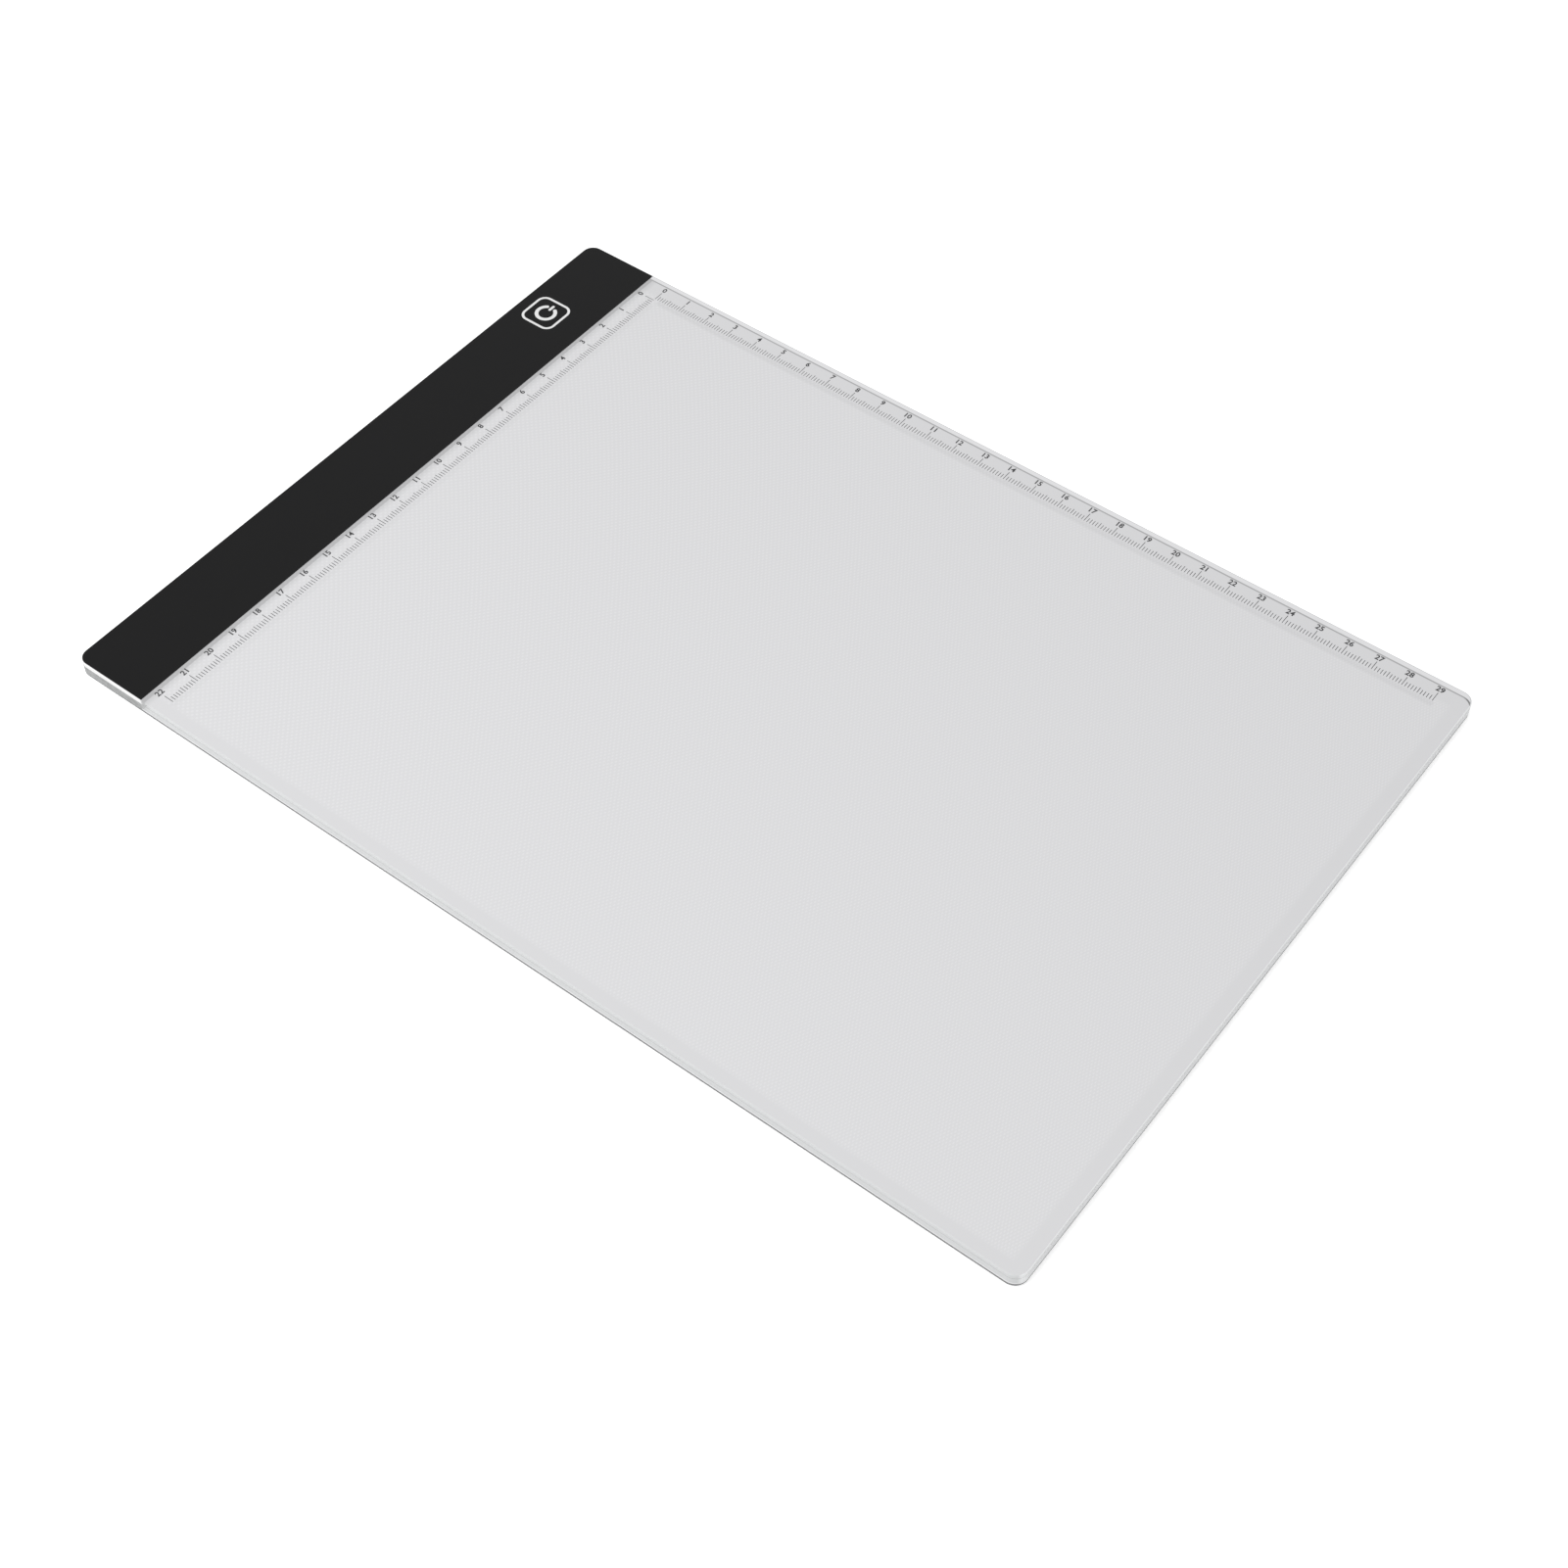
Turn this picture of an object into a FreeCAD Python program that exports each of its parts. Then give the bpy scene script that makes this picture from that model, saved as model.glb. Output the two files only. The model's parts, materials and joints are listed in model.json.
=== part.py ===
import FreeCAD, Part
import math
import os
import re

import Sketcher

# A thin edge-lit tracing pad, of the size that takes an A4 sheet beside its control band.
#
# It is a glued stack with no screws. From the bottom up: rubber pads, back cover, white reflector with a
# clear tape around it, clear light guide, thin clear tape, and the clear front panel with its printing.
# Left of the light guide a clear frame holds the LED board and the control board, under the black band.
#
# The frame of the part: X along the long side with the black band at -X, Y across with the ruler side at
# +Y, Z up. The origin is the middle of the plane that the rubber pads rest on.

Vector = FreeCAD.Vector

# ---------------------------------------------------------------------------------------------------
# Driving dimensions, in millimetres. Distances called left are measured from the panel's left edge,
# near from its near long edge, far from its far long edge.
# ---------------------------------------------------------------------------------------------------
SIZES = [
    # The panel and its layers
    ("panel_length", 335.0, "long side of the panel"),
    ("panel_width", 235.0, "short side of the panel"),
    ("corner_radius", 4.0, "rounding of the panel's corners in plan"),
    ("edge_chamfer", 0.25, "bevel around the top face"),
    ("pad_height", 1.0, "rubber pad, height"),
    ("pad_radius", 4.0, "rubber pad, radius"),
    ("pad_inset", 14.0, "rubber pad, centre to both panel edges"),
    ("pads_across", 2.0, "rubber pads, number along each side"),
    ("back_thickness", 0.3, "back cover sheet"),
    ("reflector_thickness", 0.2, "white reflector, and the tape around it"),
    ("guide_thickness", 2.9, "light guide plate"),
    ("tape_thickness", 0.1, "thin double-sided tape"),
    ("panel_thickness", 1.5, "front panel"),
    ("rim_width", 5.4, "width of the tape between light guide and back cover"),
    ("panel_tape_width", 2.0, "width of the tape under the front panel"),
    # The printing
    ("ink_thickness", 0.03, "one layer of ink"),
    ("print_inset", 0.3, "black band, clear of the panel's edges"),
    ("band_width", 27.3, "black band, left edge to its right border"),
    ("ruler_left", 35.2, "zero of the long ruler and feet of the short ruler's ticks, left"),
    ("ruler_far", 8.8, "feet of the long ruler's ticks, far"),
    ("short_zero_far", 9.5, "zero of the short ruler, far"),
    ("centimetre", 10.0, "ruler division"),
    ("long_ruler_count", 29.0, "centimetres on the long ruler"),
    ("short_ruler_count", 22.0, "centimetres on the short ruler"),
    ("tick_width", 0.2, "line width of a tick"),
    ("tick_short", 1.9, "length of a millimetre tick"),
    ("tick_middle", 2.3, "length of a five millimetre tick"),
    ("tick_long", 3.6, "length of a centimetre tick"),
    ("key_left", 10.75, "centre of the touch key, left"),
    ("key_far", 36.0, "centre of the touch key, far"),
    ("key_width", 13.2, "touch key outline, outside"),
    ("key_radius", 3.2, "touch key outline, outside corner radius"),
    ("key_line", 0.85, "touch key outline, line width"),
    ("symbol_radius", 3.1, "power symbol, middle radius of its ring"),
    ("symbol_line", 1.25, "power symbol, line width of its ring"),
    ("symbol_gap", 32.0, "power symbol, half angle of the gap in the ring"),
    ("stem_width", 0.95, "power symbol, line width of its stem"),
    ("stem_foot", 1.5, "power symbol, stem's lower end above the centre"),
    ("stem_head", 4.3, "power symbol, stem's upper end above the centre"),
    # The frame under the band
    ("frame_width", 27.0, "strip frame, left edge to the light guide"),
    ("frame_wall", 2.6, "strip frame, wall along the left edge"),
    ("frame_end", 4.0, "strip frame, wall at the near and far edges"),
    ("rib_left", 23.6, "strip frame, inner rib, left face"),
    ("rib_thickness", 1.4, "strip frame, inner rib"),
    ("lead_gap_far", 44.5, "opening in the rib for the leads, far side of it"),
    ("lead_gap_width", 7.0, "opening in the rib for the leads"),
    ("lead_gap_floor", 0.7, "what is left of the rib under the leads"),
    # The LED board
    ("led_board_thickness", 0.6, "LED board"),
    ("led_board_height", 2.7, "LED board, standing height"),
    ("led_board_gap", 0.5, "clearance of the LED board at both ends"),
    ("led_count", 45.0, "number of LEDs"),
    ("led_pitch", 5.0, "spacing of the LEDs"),
    ("led_width", 3.0, "LED package, along the board"),
    ("led_height", 1.4, "LED package, across the board"),
    ("led_depth", 0.7, "LED package, out from the board"),
    ("window_width", 2.3, "LED phosphor window, along the board"),
    ("window_height", 0.9, "LED phosphor window, across the board"),
    ("window_depth", 0.2, "LED phosphor window, depth in the package"),
    ("led_resistor_count", 14.0, "series resistors on the LED board"),
    ("leds_per_resistor", 3.0, "LEDs from one series resistor to the next"),
    ("led_resistor_length", 1.0, "series resistor, across the board"),
    ("led_resistor_width", 0.5, "series resistor, along the board"),
    ("led_resistor_depth", 0.35, "series resistor, out from the board"),
    ("led_tape_length", 177.0, "tape behind the LED board"),
    # The control board
    ("board_left", 3.2, "control board, left"),
    ("board_far", 6.0, "control board, far"),
    ("board_width", 16.0, "control board, along X"),
    ("board_length", 46.0, "control board, along Y"),
    ("board_thickness", 0.8, "control board"),
    ("board_tape_inset", 1.0, "tape under the control board, inside the board's edges"),
    ("socket_far", 18.0, "centre of the micro-USB socket, far"),
    ("socket_mouth", 0.4, "mouth of the socket, left"),
    ("socket_rise", 0.3, "underside of the socket above the back cover"),
    ("shell_width", 7.5, "socket shell, outside width"),
    ("shell_height", 2.4, "socket shell, outside height"),
    ("shell_length", 5.0, "socket shell, length"),
    ("shell_bevel", 0.75, "socket shell, bevel of the two lower corners"),
    ("shell_wall", 0.25, "socket shell, sheet thickness"),
    ("inner_bevel", 0.6, "socket shell, the same bevel on the inside"),
    ("shell_tab", 1.2, "socket shell, soldering tab, both ways"),
    ("plug_block", 1.3, "socket insulator, block at the back"),
    ("tongue_width", 3.7, "socket insulator, tongue width"),
    ("tongue_height", 0.6, "socket insulator, tongue thickness"),
    ("tongue_length", 3.2, "socket insulator, tongue length"),
    ("contact_count", 5.0, "socket contacts"),
    ("contact_pitch", 0.65, "socket contacts, spacing"),
    ("contact_width", 0.3, "socket contacts, width"),
    ("contact_thickness", 0.12, "socket contacts, thickness"),
    ("contact_setback", 0.3, "socket contacts, short of the tongue's tip"),
    ("socket_clearance", 0.35, "gap around the socket in the frame and in the board"),
    ("spring_radius", 4.0, "touch spring, middle radius"),
    ("spring_wire", 0.2, "touch spring, wire radius"),
    ("spring_turns", 3.0, "touch spring, turns"),
    ("touch_chip_width", 3.9, "touch chip, along X"),
    ("touch_chip_length", 4.9, "touch chip, along Y"),
    ("touch_chip_height", 1.35, "touch chip, height"),
    ("touch_chip_left", 8.8, "touch chip, left"),
    ("touch_chip_far", 24.5, "touch chip, far"),
    ("transistor_width", 1.3, "LED transistor, along X"),
    ("transistor_length", 2.9, "LED transistor, along Y"),
    ("transistor_height", 0.95, "LED transistor, height"),
    ("transistor_left", 10.6, "LED transistor, left"),
    ("transistor_far", 44.0, "LED transistor, far"),
    ("chip_standoff", 0.1, "chips above the board"),
    ("leg_thickness", 0.15, "chip leg, sheet thickness"),
    ("leg_width", 0.4, "chip leg, width"),
    ("leg_foot", 0.6, "chip leg, length of the foot"),
    ("leg_reach", 0.35, "chip leg, reach from the chip to the bend"),
    ("leg_pitch", 1.27, "touch chip, spacing of the legs"),
    ("transistor_leg_pitch", 0.95, "LED transistor, spacing of the legs"),
    ("capacitor_count", 3.0, "board capacitors"),
    ("capacitor_left", 14.2, "board capacitors, left"),
    ("capacitor_far", 30.4, "board capacitors, near edge of the first, far"),
    ("capacitor_length", 2.0, "board capacitor, along X"),
    ("capacitor_width", 1.25, "board capacitor, along Y"),
    ("capacitor_height", 0.9, "board capacitor, height"),
    ("resistor_count", 4.0, "board resistors"),
    ("resistor_left", 4.6, "board resistors, left"),
    ("resistor_far", 51.0, "board resistors, near edge of the first, far"),
    ("resistor_length", 1.6, "board resistor, along X"),
    ("resistor_width", 0.8, "board resistor, along Y"),
    ("resistor_height", 0.45, "board resistor, height"),
    ("chip_part_pitch", 2.6, "spacing of the board capacitors and resistors"),
    ("lead_radius", 0.45, "lead, outside radius"),
    ("lead_pitch", 3.0, "spacing of the two leads"),
    ("lead_left", 17.0, "start of the leads on the control board, left"),
    ("lead_sway", 0.6, "sideways bow of a lead"),
    ("solder_radius", 0.8, "solder joint, radius"),
]
NAMES = {name for name, value, meaning in SIZES}
CLOSE = 0.01  # places nearer than this count as one

doc = FreeCAD.newDocument("LightBox")
sheet = doc.addObject("Spreadsheet::Sheet", "Sizes")
for row, (name, value, meaning) in enumerate(SIZES, 1):
    sheet.set(f"A{row}", meaning)
    sheet.set(f"B{row}", str(value))
    sheet.setAlias(f"B{row}", name)
doc.recompute()

# Heights above the plane that the pad rests on, as sums of the layers under them
BACK_BOTTOM = "pad_height"
BACK_TOP = "pad_height + back_thickness"
GUIDE_BOTTOM = f"{BACK_TOP} + reflector_thickness"
GUIDE_TOP = f"{GUIDE_BOTTOM} + guide_thickness"
PANEL_BOTTOM = f"{GUIDE_TOP} + tape_thickness"
PANEL_TOP = f"{PANEL_BOTTOM} + panel_thickness"
PRINT_BOTTOM = f"{PANEL_TOP} - ink_thickness"
BOARD_BOTTOM = f"{BACK_TOP} + tape_thickness"
BOARD_TOP = f"{BOARD_BOTTOM} + board_thickness"
SOCKET_BOTTOM = f"{BACK_TOP} + socket_rise"
FRAME_HEIGHT = "reflector_thickness + guide_thickness"

# Places along X and Y that several pieces share
LED_BOARD_BACK = "rib_left + rib_thickness + tape_thickness"
LED_BOARD_FRONT = f"{LED_BOARD_BACK} + led_board_thickness"
LED_MIDDLE = f"{GUIDE_BOTTOM} + guide_thickness / 2"
FIRST_LED = "panel_width / 2 - (led_count - 1) / 2 * led_pitch"
FIRST_LEAD = "panel_width - lead_gap_far - lead_gap_width / 2 - lead_pitch / 2"
SECOND_LEAD = f"{FIRST_LEAD} + lead_pitch"
BOARD_NEAR = "panel_width - board_far - board_length"
SOCKET_NEAR = "panel_width - socket_far"

# The room inside the socket's shell
INNER_WIDTH = "shell_width - 2 * shell_wall"
INNER_HEIGHT = "shell_height - 2 * shell_wall"

SUBPARTS = []


# ---------------------------------------------------------------------------------------------------
# Helpers
# ---------------------------------------------------------------------------------------------------
def bound(text):
    """The expression in which each size's name reads its own cell of the sheet."""

    def reading(word):
        name = word.group()
        return f"Sizes.{name}" if name in NAMES else name

    return re.sub(r"[a-z_]+", reading, text)


def value_of(text):
    """The number that an expression gives now."""
    return float(sheet.evalExpression(text))


def bind(thing, prop, text):
    """Ties one property to an expression in the sheet's sizes."""
    thing.setExpression(prop, bound(text))


def place(thing, left, near, height):
    """Puts an object at distances from the panel's left and near edges, and at a height."""
    bind(thing, "Placement.Base.x", f"{left} - panel_length / 2")
    bind(thing, "Placement.Base.y", f"{near} - panel_width / 2")
    bind(thing, "Placement.Base.z", height)


def subpart(thing, label):
    """Names an object as one sub-part, which is written to a file of that name."""
    thing.Label = label
    SUBPARTS.append(thing)
    return thing


def new_body(label, left, near, height, is_part=True):
    """An empty body whose own origin is at the given place on the panel."""
    body = doc.addObject("PartDesign::Body", label)
    body.AllowCompound = True
    place(body, left, near, height)
    return subpart(body, label) if is_part else body


def new_sketch(body, name, role="XY_Plane"):
    """A sketch on one of the body's own origin planes."""
    plane = next(item for item in body.Origin.OriginFeatures if item.Role == role)
    sketch = body.newObject("Sketcher::SketchObject", f"{body.Name}_{name}")
    sketch.AttachmentSupport = (plane, [""])
    sketch.MapMode = "FlatFace"
    return sketch


def dimension(sketch, kind, first, first_end, second, second_end, text):
    """A distance between two points of a sketch, tied to an expression."""
    number = sketch.addConstraint(
        Sketcher.Constraint(kind, first, first_end, second, second_end, value_of(text))
    )
    bind(sketch, f"Constraints[{number}]", text)


def rectangle(sketch, left, near, width, depth):
    """A rectangle whose corner and sides are tied to expressions."""
    x_low, y_low = value_of(left), value_of(near)
    x_high, y_high = x_low + value_of(width), y_low + value_of(depth)
    corners = [Vector(x_low, y_low), Vector(x_high, y_low), Vector(x_high, y_high), Vector(x_low, y_high)]
    start = sketch.GeometryCount
    for i in range(4):
        sketch.addGeometry(Part.LineSegment(corners[i], corners[(i + 1) % 4]))
    for i in range(4):
        sketch.addConstraint(Sketcher.Constraint("Coincident", start + i, 2, start + (i + 1) % 4, 1))
        side = "Vertical" if i % 2 else "Horizontal"
        sketch.addConstraint(Sketcher.Constraint(side, start + i))
    dimension(sketch, "DistanceX", -1, 1, start, 1, left)
    dimension(sketch, "DistanceY", -1, 1, start, 1, near)
    dimension(sketch, "DistanceX", start, 1, start, 2, width)
    dimension(sketch, "DistanceY", start + 1, 1, start + 1, 2, depth)


def pad(body, sketch, length):
    """Raises a sketch by a length that is tied to an expression."""
    feature = body.newObject("PartDesign::Pad", f"{sketch.Name}_pad")
    feature.Profile = sketch
    bind(feature, "Length", length)
    sketch.Visibility = False
    doc.recompute()
    return feature


def pocket_up(body, sketch):
    """Cuts a sketch on the underside of a body through all of it, and tests that it has cut."""
    before = body.Shape.Volume
    feature = body.newObject("PartDesign::Pocket", f"{sketch.Name}_pocket")
    feature.Profile = sketch
    feature.Type = "ThroughAll"
    feature.Reversed = True
    doc.recompute()
    if body.Shape.Volume >= before:
        raise ValueError(f"{sketch.Name} cuts nothing")
    return feature


def repeat(body, feature, axis_of, axis, count, pitch):
    """Repeats a feature in a row along an axis of a sketch."""
    row = body.newObject("PartDesign::LinearPattern", f"{feature.Name}_row")
    row.Originals = [feature]
    row.Direction = (axis_of, [axis])
    bind(row, "Occurrences", count)
    bind(row, "Length", f"({count} - 1) * {pitch}")
    body.Tip = row
    doc.recompute()
    return row


def upright_edges(shape, sides):
    """Names of the edges that stand at a shape's outer corners, on its left, right or both sides."""
    box = shape.BoundBox
    wanted_x = [x for side, x in (("left", box.XMin), ("right", box.XMax)) if side in sides]
    names = []
    for number, edge in enumerate(shape.Edges, 1):
        span = edge.BoundBox
        stands = abs(span.ZLength - box.ZLength) < CLOSE
        at_x = any(abs(span.Center.x - x) < CLOSE for x in wanted_x)
        at_y = min(abs(span.Center.y - box.YMin), abs(span.Center.y - box.YMax)) < CLOSE
        if stands and at_x and at_y:
            names.append(f"Edge{number}")
    return names


def round_corners(body, feature, sides, radius="corner_radius"):
    """Rounds the outer corners of a sheet on the named sides."""
    fillet = body.newObject("PartDesign::Fillet", f"{body.Name}_corners")
    fillet.Base = (feature, upright_edges(feature.Shape, sides))
    bind(fillet, "Radius", radius)
    doc.recompute()
    return fillet


def sheet_body(label, left, near, height, width, depth, thickness, sides=(), is_part=True):
    """A flat rectangular sheet, with its outer corners rounded on the named sides."""
    body = new_body(label, left, near, height, is_part)
    sketch = new_sketch(body, "outline")
    rectangle(sketch, "0", "0", width, depth)
    feature = pad(body, sketch, thickness)
    if sides:
        round_corners(body, feature, sides)
    return body


def block(name, left, near, height, width, depth, rise):
    """A plain box bound to the sheet."""
    box = doc.addObject("Part::Box", name)
    bind(box, "Length", width)
    bind(box, "Width", depth)
    bind(box, "Height", rise)
    place(box, left, near, height)
    return box


# ---------------------------------------------------------------------------------------------------
# The optical stack
# ---------------------------------------------------------------------------------------------------
def make_front_panel(prints):
    """The clear acrylic sheet on top, its upper edge bevelled all round and the prints let in flush."""
    blank = sheet_body(
        "panel_blank",
        "0",
        "0",
        PANEL_BOTTOM,
        "panel_length",
        "panel_width",
        "panel_thickness",
        ("left", "right"),
        is_part=False,
    )
    rounded = blank.Tip
    top = rounded.Shape.BoundBox.ZMax
    rim = [
        f"Edge{number}"
        for number, edge in enumerate(rounded.Shape.Edges, 1)
        if edge.BoundBox.ZMin > top - CLOSE
    ]
    chamfer = blank.newObject("PartDesign::Chamfer", "panel_bevel")
    chamfer.Base = (rounded, rim)
    bind(chamfer, "Size", "edge_chamfer")
    printing = doc.addObject("Part::Compound", "printing")
    printing.Links = prints
    panel = doc.addObject("Part::Cut", "front_panel")
    panel.Base = blank
    panel.Tool = printing
    subpart(panel, "front_panel")


def make_panel_tape():
    """The thin clear tape around the rim that holds the panel off the light guide."""
    body = new_body("panel_tape", "0", "0", GUIDE_TOP)
    sketch = new_sketch(body, "outline")
    rectangle(sketch, "0", "0", "panel_length", "panel_width")
    rectangle(
        sketch,
        "panel_tape_width",
        "panel_tape_width",
        "panel_length - 2 * panel_tape_width",
        "panel_width - 2 * panel_tape_width",
    )
    ring = pad(body, sketch, "tape_thickness")
    round_corners(body, ring, ("left", "right"))


def make_light_guide():
    """The clear plate that carries the light; its near, far and right edges are bare."""
    sheet_body(
        "light_guide_plate",
        "frame_width",
        "0",
        GUIDE_BOTTOM,
        "panel_length - frame_width",
        "panel_width",
        "guide_thickness",
        ("right",),
    )


def make_reflector():
    """The white film under the light guide, inset by the width of the rim tape."""
    sheet_body(
        "reflector_sheet",
        "frame_width",
        "rim_width",
        BACK_TOP,
        "panel_length - frame_width - rim_width",
        "panel_width - 2 * rim_width",
        "reflector_thickness",
    )


def make_rim_tape():
    """The clear tape on three sides of the reflector, which bonds light guide and back cover."""
    body = new_body("rim_tape", "frame_width", "0", BACK_TOP)
    outline = new_sketch(body, "outline")
    rectangle(outline, "0", "0", "panel_length - frame_width", "panel_width")
    round_corners(body, pad(body, outline, "reflector_thickness"), ("right",))
    opening = new_sketch(body, "opening")
    rectangle(
        opening,
        "0",
        "rim_width",
        "panel_length - frame_width - rim_width",
        "panel_width - 2 * rim_width",
    )
    pocket_up(body, opening)


def make_back_cover():
    """The sheet that closes the underside."""
    sheet_body(
        "back_cover",
        "0",
        "0",
        BACK_BOTTOM,
        "panel_length",
        "panel_width",
        "back_thickness",
        ("left", "right"),
    )


def make_anti_slip_pads():
    """Four rubber discs near the corners of the back cover."""
    body = new_body("anti_slip_pads", "pad_inset", "pad_inset", "0")
    sketch = new_sketch(body, "disc")
    disc = sketch.addGeometry(Part.Circle(Vector(0, 0, 0), Vector(0, 0, 1), value_of("pad_radius")))
    sketch.addConstraint(Sketcher.Constraint("Coincident", disc, 3, -1, 1))
    radius = sketch.addConstraint(Sketcher.Constraint("Radius", disc, value_of("pad_radius")))
    bind(sketch, f"Constraints[{radius}]", "pad_radius")
    one = pad(body, sketch, "pad_height")
    along = body.newObject("PartDesign::LinearPattern", "anti_slip_pads_along")
    along.Originals = [one]
    along.Direction = (sketch, ["H_Axis"])
    along.Direction2 = (sketch, ["V_Axis"])
    bind(along, "Occurrences", "pads_across")
    bind(along, "Occurrences2", "pads_across")
    bind(along, "Length", "panel_length - 2 * pad_inset")
    bind(along, "Length2", "panel_width - 2 * pad_inset")
    body.Tip = along


# ---------------------------------------------------------------------------------------------------
# The printing
# ---------------------------------------------------------------------------------------------------
def make_strip_print(key):
    """The black band, left open where the white key is printed. Returns the whole band."""
    band = sheet_body(
        "black_band",
        "print_inset",
        "print_inset",
        PRINT_BOTTOM,
        "band_width - print_inset",
        "panel_width - 2 * print_inset",
        "ink_thickness",
        is_part=False,
    )
    round_corners(band, band.Tip, ("left",), "corner_radius - print_inset")
    strip = doc.addObject("Part::Cut", "strip_print")
    strip.Base = band
    strip.Tool = key
    subpart(strip, "strip_print")
    return band


def turned(x, y, angle):
    """A point of the sketch plane, turned about the origin."""
    return Vector(x * math.cos(angle) - y * math.sin(angle), x * math.sin(angle) + y * math.cos(angle))


def rounded_square(sketch, width, radius):
    """A square with round corners, centred on the sketch's origin."""
    half, bend = value_of(width) / 2, value_of(radius)
    flat = half - bend
    start = sketch.GeometryCount
    for i in range(4):
        turn = i * math.pi / 2
        sketch.addGeometry(Part.LineSegment(turned(half, -flat, turn), turned(half, flat, turn)))
        corner = Part.Circle(turned(flat, flat, turn), Vector(0, 0, 1), bend)
        sketch.addGeometry(Part.ArcOfCircle(corner, turn, turn + math.pi / 2))
    for i in range(4):
        line, arc, after = start + 2 * i, start + 2 * i + 1, start + (2 * i + 2) % 8
        sketch.addConstraint(Sketcher.Constraint("Tangent", line, 2, arc, 1))
        sketch.addConstraint(Sketcher.Constraint("Tangent", arc, 2, after, 1))
        side = "Horizontal" if i % 2 else "Vertical"
        sketch.addConstraint(Sketcher.Constraint(side, line))
        if i:
            sketch.addConstraint(Sketcher.Constraint("Equal", start + 1, arc))
    number = sketch.addConstraint(Sketcher.Constraint("Radius", start + 1, bend))
    bind(sketch, f"Constraints[{number}]", radius)
    dimension(sketch, "DistanceX", -1, 1, start, 1, f"({width}) / 2")
    dimension(sketch, "DistanceY", -1, 1, start + 2, 1, f"({width}) / 2")
    dimension(sketch, "DistanceX", start + 4, 1, start, 2, width)
    dimension(sketch, "DistanceY", start + 6, 1, start + 2, 2, width)


def power_symbol(name, left, near, height):
    """The open ring with round ends, and the stem in its gap."""
    outer = "symbol_radius + symbol_line / 2"
    inner = "symbol_radius - symbol_line / 2"

    def drum(part, radius, x="0", y="0"):
        made = doc.addObject("Part::Cylinder", f"{name}_{part}")
        bind(made, "Radius", radius)
        bind(made, "Height", "ink_thickness")
        place(made, f"{left} + {x}", f"{near} + {y}", height)
        return made

    disc = drum("disc", outer)
    bind(disc, "Angle", "360 - 2 * symbol_gap")
    bind(disc, "Placement.Rotation.Angle", "90 + symbol_gap")
    ring = doc.addObject("Part::Cut", f"{name}_ring")
    ring.Base = disc
    ring.Tool = drum("hole", inner)
    rise = "symbol_radius * cos(symbol_gap)"
    reach = "symbol_radius * sin(symbol_gap)"
    open_ring = doc.addObject("Part::MultiFuse", f"{name}_open_ring")
    open_ring.Shapes = [
        ring,
        drum("right_end", "symbol_line / 2", reach, rise),
        drum("left_end", "symbol_line / 2", f"-{reach}", rise),
    ]
    bar = block(
        f"{name}_bar",
        f"{left} - stem_width / 2",
        f"{near} + stem_foot + stem_width / 2",
        height,
        "stem_width",
        "stem_head - stem_foot - stem_width",
        "ink_thickness",
    )
    stem = doc.addObject("Part::MultiFuse", f"{name}_stem")
    stem.Shapes = [
        bar,
        drum("stem_low_end", "stem_width / 2", "0", "stem_foot + stem_width / 2"),
        drum("stem_high_end", "stem_width / 2", "0", "stem_head - stem_width / 2"),
    ]
    return [open_ring, stem]


def make_power_key_print():
    """The white touch key: a rounded square outline around the power symbol, in the black band."""
    near = "panel_width - key_far"
    outline = new_body("key_outline", "key_left", near, PRINT_BOTTOM, is_part=False)
    sketch = new_sketch(outline, "squares")
    rounded_square(sketch, "key_width", "key_radius")
    rounded_square(sketch, "key_width - 2 * key_line", "key_radius - key_line")
    pad(outline, sketch, "ink_thickness")
    key = doc.addObject("Part::Compound", "power_key_print")
    key.Links = [outline] + power_symbol("key_symbol", "key_left", near, PRINT_BOTTOM)
    return subpart(key, "power_key_print")


def tick_length(number):
    """The length of the tick at a whole millimetre."""
    if number % 10 == 0:
        return value_of("tick_long")
    if number % 5 == 0:
        return value_of("tick_middle")
    return value_of("tick_short")


def make_ruler(label, centimetres, zero_far, along_x):
    """A row of printed ticks, one a millimetre. Each starts on a common line and points outward."""
    width, ink, step = value_of("tick_width"), value_of("ink_thickness"), value_of("centimetre") / 10
    ticks = []
    for number in range(round(value_of(centimetres)) * 10 + 1):
        length, along = tick_length(number), number * step - width / 2
        if along_x:
            ticks.append(Part.makeBox(width, length, ink, Vector(along, 0, 0)))
        else:
            ticks.append(Part.makeBox(length, width, ink, Vector(-length, -along - width, 0)))
    ruler = doc.addObject("Part::Feature", label)
    ruler.Shape = Part.makeCompound(ticks)
    place(ruler, "ruler_left", f"panel_width - {zero_far}", PRINT_BOTTOM)
    return subpart(ruler, label)


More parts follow.
